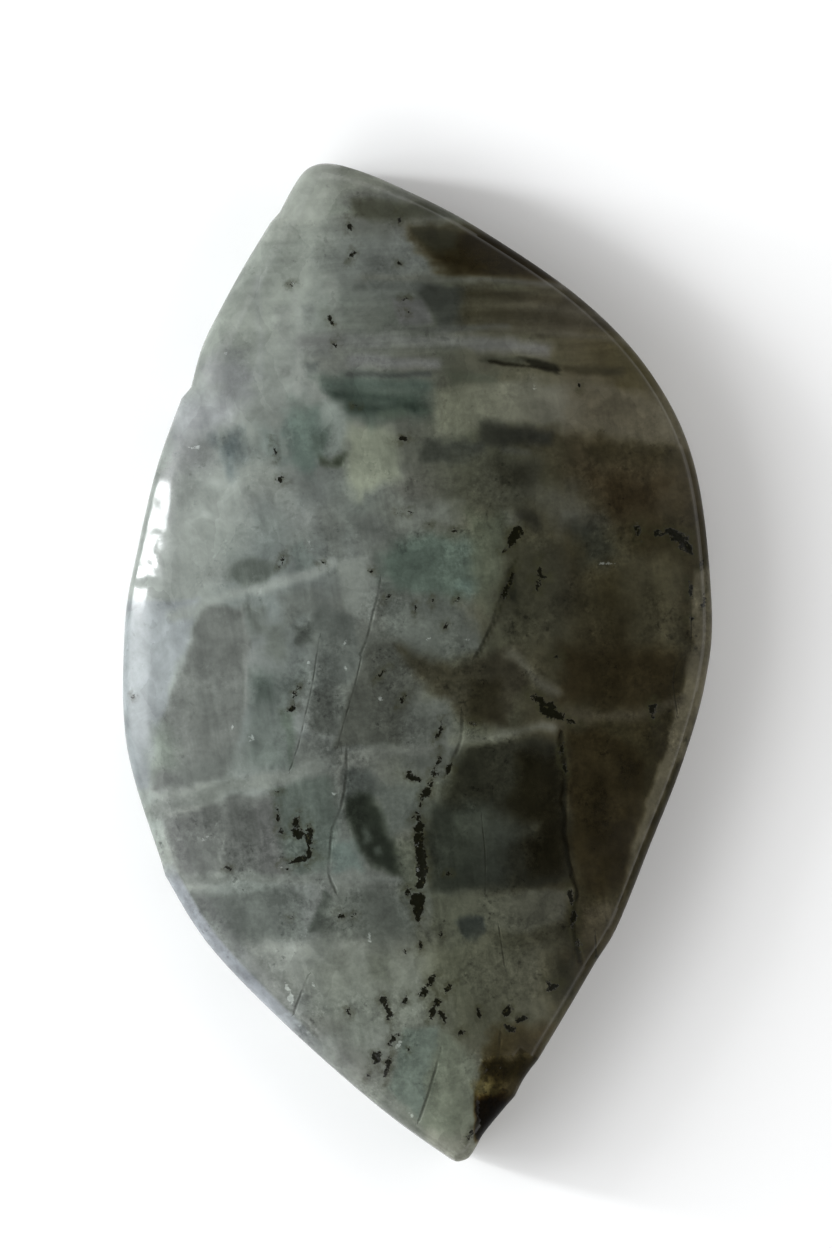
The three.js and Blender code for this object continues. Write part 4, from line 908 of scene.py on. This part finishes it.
def feldspar_group():
    """Lightness, gold and rust as a colour, broken up by clouds, mottling, streaks and cells."""
    g, given, out = new_group(
        "feldspar colour",
        {"Vector": VECTOR, "Tone": ("Float", 0.4), "Gold": ("Float", 0.0), "Rust": ("Float", 0.0),
         "Cloud": ("Float", 0.1), "Mottle": ("Float", 0.1), "Grain": ("Float", 0.06),
         "Streaks": ("Float", 0.06), "Cells": ("Float", 0.1), "Flecks": ("Float", 0.3)},
        {"Color": COLOUR},
    )
    at, lightness = given["Vector"], given["Tone"]
    leftwards, height = g.part("XYZ", "X", at), g.part("XYZ", "Y", at)
    patches = g.step(g.noise(at, 0.35, 2.0, 0.5), 0.44, 0.6)
    leftwards = g.plus(g.step(leftwards, 1, -4, 0, 9), g.step(leftwards, -6, -9, 0, 10))
    calm = g.step(g.plus(height, leftwards), 9.5, 12.5, 1, 0.45)

    # Clouds, and mottling and grain that fade where the stone is calm or pale
    change = g.times(g.swing(at, 0.75, 5.0, 0.62, 0.5), given["Cloud"])
    mottle = g.minus(g.step(g.noise(at, 2.2, 4.0, 0.62, 0.3), 0.36, 0.64), 0.5)
    fine = g.plus(g.times(mottle, given["Mottle"]),
                  g.times(g.swing(at, 5.5, 3.0, 0.6), given["Grain"]))
    busy = g.times(g.times(calm, g.plus(patches, 0.8)), g.step(lightness, 0.38, 0.56, 1.25, 0.3))
    change = g.plus(change, g.times(fine, busy))

    # Streaks, level near the nose and upright below
    top = g.step(height, 13, 17)
    level = g.swing(g.placed(at, (0.16, 2.2, 1), -3), 1.0, 4.0)
    upright = g.swing(g.placed(at, (2.6, 0.22, 1), -10), 1.0, 4.0)
    streak = g.plus(g.times(level, g.plus(top, 0.25)), g.times(upright, g.minus(1.15, top)))
    brushed = g.times(given["Streaks"], g.step(lightness, 0.35, 0.5, 1, 0.45))
    brushed = g.times(brushed, g.step(g.noise(at, 0.22, 2.0), 0.42, 0.6, 0.3, 1))
    change = g.plus(change, g.times(streak, brushed))

    # Cells with wavy borders, each a little lighter or darker
    wander = g.vector_math("SCALE", a=g.noise(at, 0.9, roughness=0.5, out="Color"), scale=0.9)
    wavy = g.placed(g.vector_math("ADD", a=at, b=wander), (0.75, 0.42, 1), -12)
    cells = g.add("ShaderNodeTexVoronoi", out="Color", inputs={"Vector": wavy, "Scale": 1})
    cells = g.minus(g.part("Color", 0, cells), 0.5)
    change = g.plus(change, g.times(cells, given["Cells"]))

    # Dark and light flecks
    dark = g.step(g.noise(at, 2.6, 3.0, 0.6), 0.6, 0.7)
    light = g.step(g.noise(g.placed(at, (1, 0.7, 1), 25), 3.4, 3.0, 0.65), 0.62, 0.72)
    flecks = g.times(g.minus(dark, g.times(light, 0.8)), g.times(patches, calm))
    change = g.minus(g.plus(change, 1), g.times(flecks, given["Flecks"]))

    tone = g.times(lightness, change)
    red = g.times(tone, g.plus(1, given["Rust"]))
    blue = g.times(tone, g.minus(1, given["Gold"]))
    shown = g.add("ShaderNodeCombineColor", inputs={0: red, 1: tone, 2: blue})
    g.put(out["Color"], g.add("ShaderNodeGamma", inputs={"Color": shown, "Gamma": 2.2}))
    return g.tree


def marks_group():
    """Inclusions, cracks, white chips and painted glints over a colour, with how rough and how high
    they are.
    """
    g, given, out = new_group(
        "inclusions and cracks",
        {"Vector": VECTOR, "Color": COLOUR, "Speck": ("Float", 1.0), "Crack side": ("Float", 20.0),
         "Crack near": ("Float", 1.0), "Glint": ("Float", 1.0), "Chip": ("Float", 0.0)},
        {"Color": COLOUR, "Rough": FLOAT, "Height": FLOAT},
    )
    at = given["Vector"]
    ragged = g.times(g.swing(at, 3.6, 5.0, 0.7, 0.4), 0.62)
    speck = g.plus(given["Speck"], ragged)
    black = g.step(speck, 0.055, 0.005)

    # A dim ring round the inclusions
    halo = g.times(g.step(speck, 0.4, 0.02), g.step(g.noise(at, 2.4), 0.4, 0.6, 0.15, 0.6))
    colour = g.mix(halo, given["Color"], (0.03, 0.03, 0.014, 1))

    # Cracks that come and go, dark with a paler line beside them
    present = g.step(g.noise(at, 1.1), 0.36, 0.6, 0.25, 1)
    close = g.times(g.step(given["Crack near"], 0.4, 0.2), present)
    uneven = g.plus(given["Crack side"], g.times(g.swing(at, 2.4), 2))
    line = g.times(g.step(g.size(uneven), 2.2, 0.3), close)
    pale = g.times(g.step(g.size(g.minus(uneven, 2.6)), 1.6, 0.2), close)
    paler = g.vector_math("SCALE", a=colour, scale=g.math("MULTIPLY_ADD", pale, 0.3, 1))
    colour = g.mix(pale, colour, paler)
    colour = g.mix(g.times(line, 0.62), colour, (0.009, 0.009, 0.006, 1))

    # The black mineral, with lighter bits in it
    bits = g.step(g.noise(at, 5.0, 2.0, 0.6), 0.62, 0.72)
    mineral = g.mix(bits, (0.0035, 0.0035, 0.0012, 1), (0.022, 0.021, 0.009, 1))
    colour = g.mix(g.times(black, 0.96), colour, mineral)

    # White chips, and glints painted in as highlights
    glint = g.step(g.plus(given["Glint"], ragged), 0.02, -0.06)
    lit = g.vector_math("MULTIPLY_ADD", a=colour, b=(1.6, 1.6, 1.6), c=(0.12, 0.13, 0.125))
    g.put(out["Color"], g.mix(g.times(glint, 0.8), colour, lit))

    g.put(out["Rough"], g.larger(black, given["Chip"]))
    broken = g.larger(g.times(black, 0.25), given["Chip"])
    lumps = g.times(g.noise(at, 5.0, 4.0, 0.65), broken)
    g.put(out["Height"], g.minus(lumps, g.times(line, 0.06)))
    return g.tree


def stone_material(name, finish):
    """The stone's surface, with a finish: the strength of each pattern, roughness and grinding."""
    material = bpy.data.materials.new(name)
    material.use_nodes = True
    material.node_tree.nodes.clear()
    m = Nodes(material.node_tree)
    place = m.add("ShaderNodeTexCoord", out="Object")
    at = m.add("ShaderNodeMapping", inputs={"Vector": place, "Scale": (1 / MM,) * 3})
    colour = m.add("ShaderNodeGroup", node_tree=FELDSPAR, inputs={
        "Vector": at, **m.fields("Tone", "Gold", "Rust"), **finish["patterns"]})
    marks = m.add("ShaderNodeGroup", out=None, node_tree=MARKS, inputs={
        "Vector": at, "Color": colour,
        **m.fields("Speck", "Crack side", "Crack near", "Glint", "Chip")}).outputs
    rough = m.step(m.noise(at, finish["wear_scale"]), 0.35, 0.7, *finish["roughness"])
    rough = m.plus(rough, m.times(marks["Rough"], 0.04), clamp=True)
    lines = m.noise(m.placed(at, finish["grind"], finish["grind_turn"]), 1.0, 3.0, 0.6)
    height = m.plus(m.times(lines, finish["grind_height"]), m.times(marks["Height"], 0.03))
    bump = m.add("ShaderNodeBump", inputs={"Height": height, "Distance": MM, "Strength": 1})
    shader = m.add("ShaderNodeBsdfPrincipled", inputs={
        "Base Color": marks["Color"], "Roughness": rough, "Normal": bump, "IOR": 1.56,
        "Specular IOR Level": finish["specular"],
    })
    m.add("ShaderNodeOutputMaterial", inputs={"Surface": shader}, out=None)
    return material


def patterns(*strengths):
    """The strength of each pattern of the feldspar."""
    return dict(zip(("Cloud", "Mottle", "Grain", "Streaks", "Cells", "Flecks"), strengths))


POLISHED = {
    "patterns": patterns(0.42, 0.08, 0.2, 0.34, 0.09, 0.22),
    "roughness": (0.14, 0.22), "specular": 0.27, "wear_scale": 0.5,
    "grind": (0.4, 3, 1), "grind_turn": 30, "grind_height": 0.0008,
}
FINISHES = {
    "polished": POLISHED,
    "ground": {
        "patterns": patterns(0.4, 0.1, 0.4, 0.25, 0.1, 0.25),
        "roughness": (0.45, 0.65), "specular": 0.35, "wear_scale": 1.2,
        "grind": (0.6, 9, 9), "grind_turn": 55, "grind_height": 0.012,
    },
    "broken": {
        "patterns": patterns(0.6, 0.2, 0.3, 0.3, 0.3, 0.4),
        "roughness": (0.3, 0.45), "specular": 0.03, "wear_scale": 1.2,
        "grind": (2, 2, 2), "grind_turn": 0, "grind_height": 0.01,
    },
    "worn": {**POLISHED, "roughness": (0.3, 0.45), "specular": 0.03},
}


def plain_material(name, colour, roughness):
    """A material of one colour."""
    material = bpy.data.materials.new(name)
    material.use_nodes = True
    shader = material.node_tree.nodes["Principled BSDF"]
    shader.inputs["Base Color"].default_value = (*colour, 1)
    shader.inputs["Roughness"].default_value = roughness
    return material


def linked(name, data):
    """An object with that data, in the scene."""
    piece = bpy.data.objects.new(name, data)
    bpy.context.scene.collection.objects.link(piece)
    return piece


def add_camera():
    """The camera looks straight down on the place that the middle of the photograph shows."""
    data = bpy.data.cameras.new("camera")
    data.sensor_width = SENSOR
    data.lens = SENSOR * (CAMERA_HEIGHT - GIRDLE_HEIGHT) / (IMAGE_HEIGHT * MM_PER_PIXEL)
    camera = linked("camera", data)
    x = (IMAGE_CENTRE[0] - STONE_CENTRE[0]) * MM_PER_PIXEL
    y = (STONE_CENTRE[1] - IMAGE_CENTRE[1]) * MM_PER_PIXEL
    camera.location = (x * MM, y * MM, CAMERA_HEIGHT * MM)
    bpy.context.scene.camera = camera


def add_softbox(name, azimuth, elevation, distance, size, radiance, colour):
    """A rectangular light that faces the stone."""
    data = bpy.data.lights.new(name, "AREA")
    data.shape = "RECTANGLE"
    data.size, data.size_y = (side * MM for side in size)
    data.energy = radiance * np.pi * data.size * data.size_y
    data.color = colour
    lamp = linked(name, data)
    turn, rise = np.radians([azimuth, elevation])
    away = np.array([np.cos(turn) * np.cos(rise), np.sin(turn) * np.cos(rise), np.sin(rise)])
    lamp.location = away * distance * MM
    lamp.rotation_euler = (np.pi / 2 - rise, 0, turn + np.pi / 2)


def add_studio():
    """The lights, a pale floor, and a soft ring of sky that leaves the sky straight above dark."""
    for name, light in LIGHTS.items():
        add_softbox(name, *light)
    world = bpy.data.worlds.new("studio")
    world.use_nodes = True
    sky = Nodes(world.node_tree)
    up = sky.part("XYZ", "Z", sky.add("ShaderNodeTexCoord", out="Generated"))
    background = world.node_tree.nodes["Background"].inputs
    sky.put(background["Color"], (1, 1, 1, 1))
    ring = sky.times(sky.step(up, 0.4, 0.62, 0.45, 1.1), sky.step(up, 0.68, 0.82, 1, 0.02))
    sky.put(background["Strength"], ring)
    bpy.context.scene.world = world
    bpy.context.scene.view_settings.view_transform = "Standard"
    corners = [(-1, -1, 0), (1, -1, 0), (1, 1, 0), (-1, 1, 0)]
    mesh = bpy.data.meshes.new("floor")
    mesh.from_pydata((np.array(corners) * FLOOR_SIDE / 2).tolist(), [], [(0, 1, 2, 3)])
    mesh.materials.append(plain_material("floor", (0.92, 0.92, 0.92), 0.9))
    linked("floor", mesh)


add_camera()
add_studio()
FELDSPAR = feldspar_group()
MARKS = marks_group()
stone_data = stone_mesh()
for finish in FINISHES:
    stone_data.materials.append(stone_material(finish + " feldspar", FINISHES[finish]))
stone = linked("cabochon", stone_data)
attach(stone, "root")
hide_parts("stone")
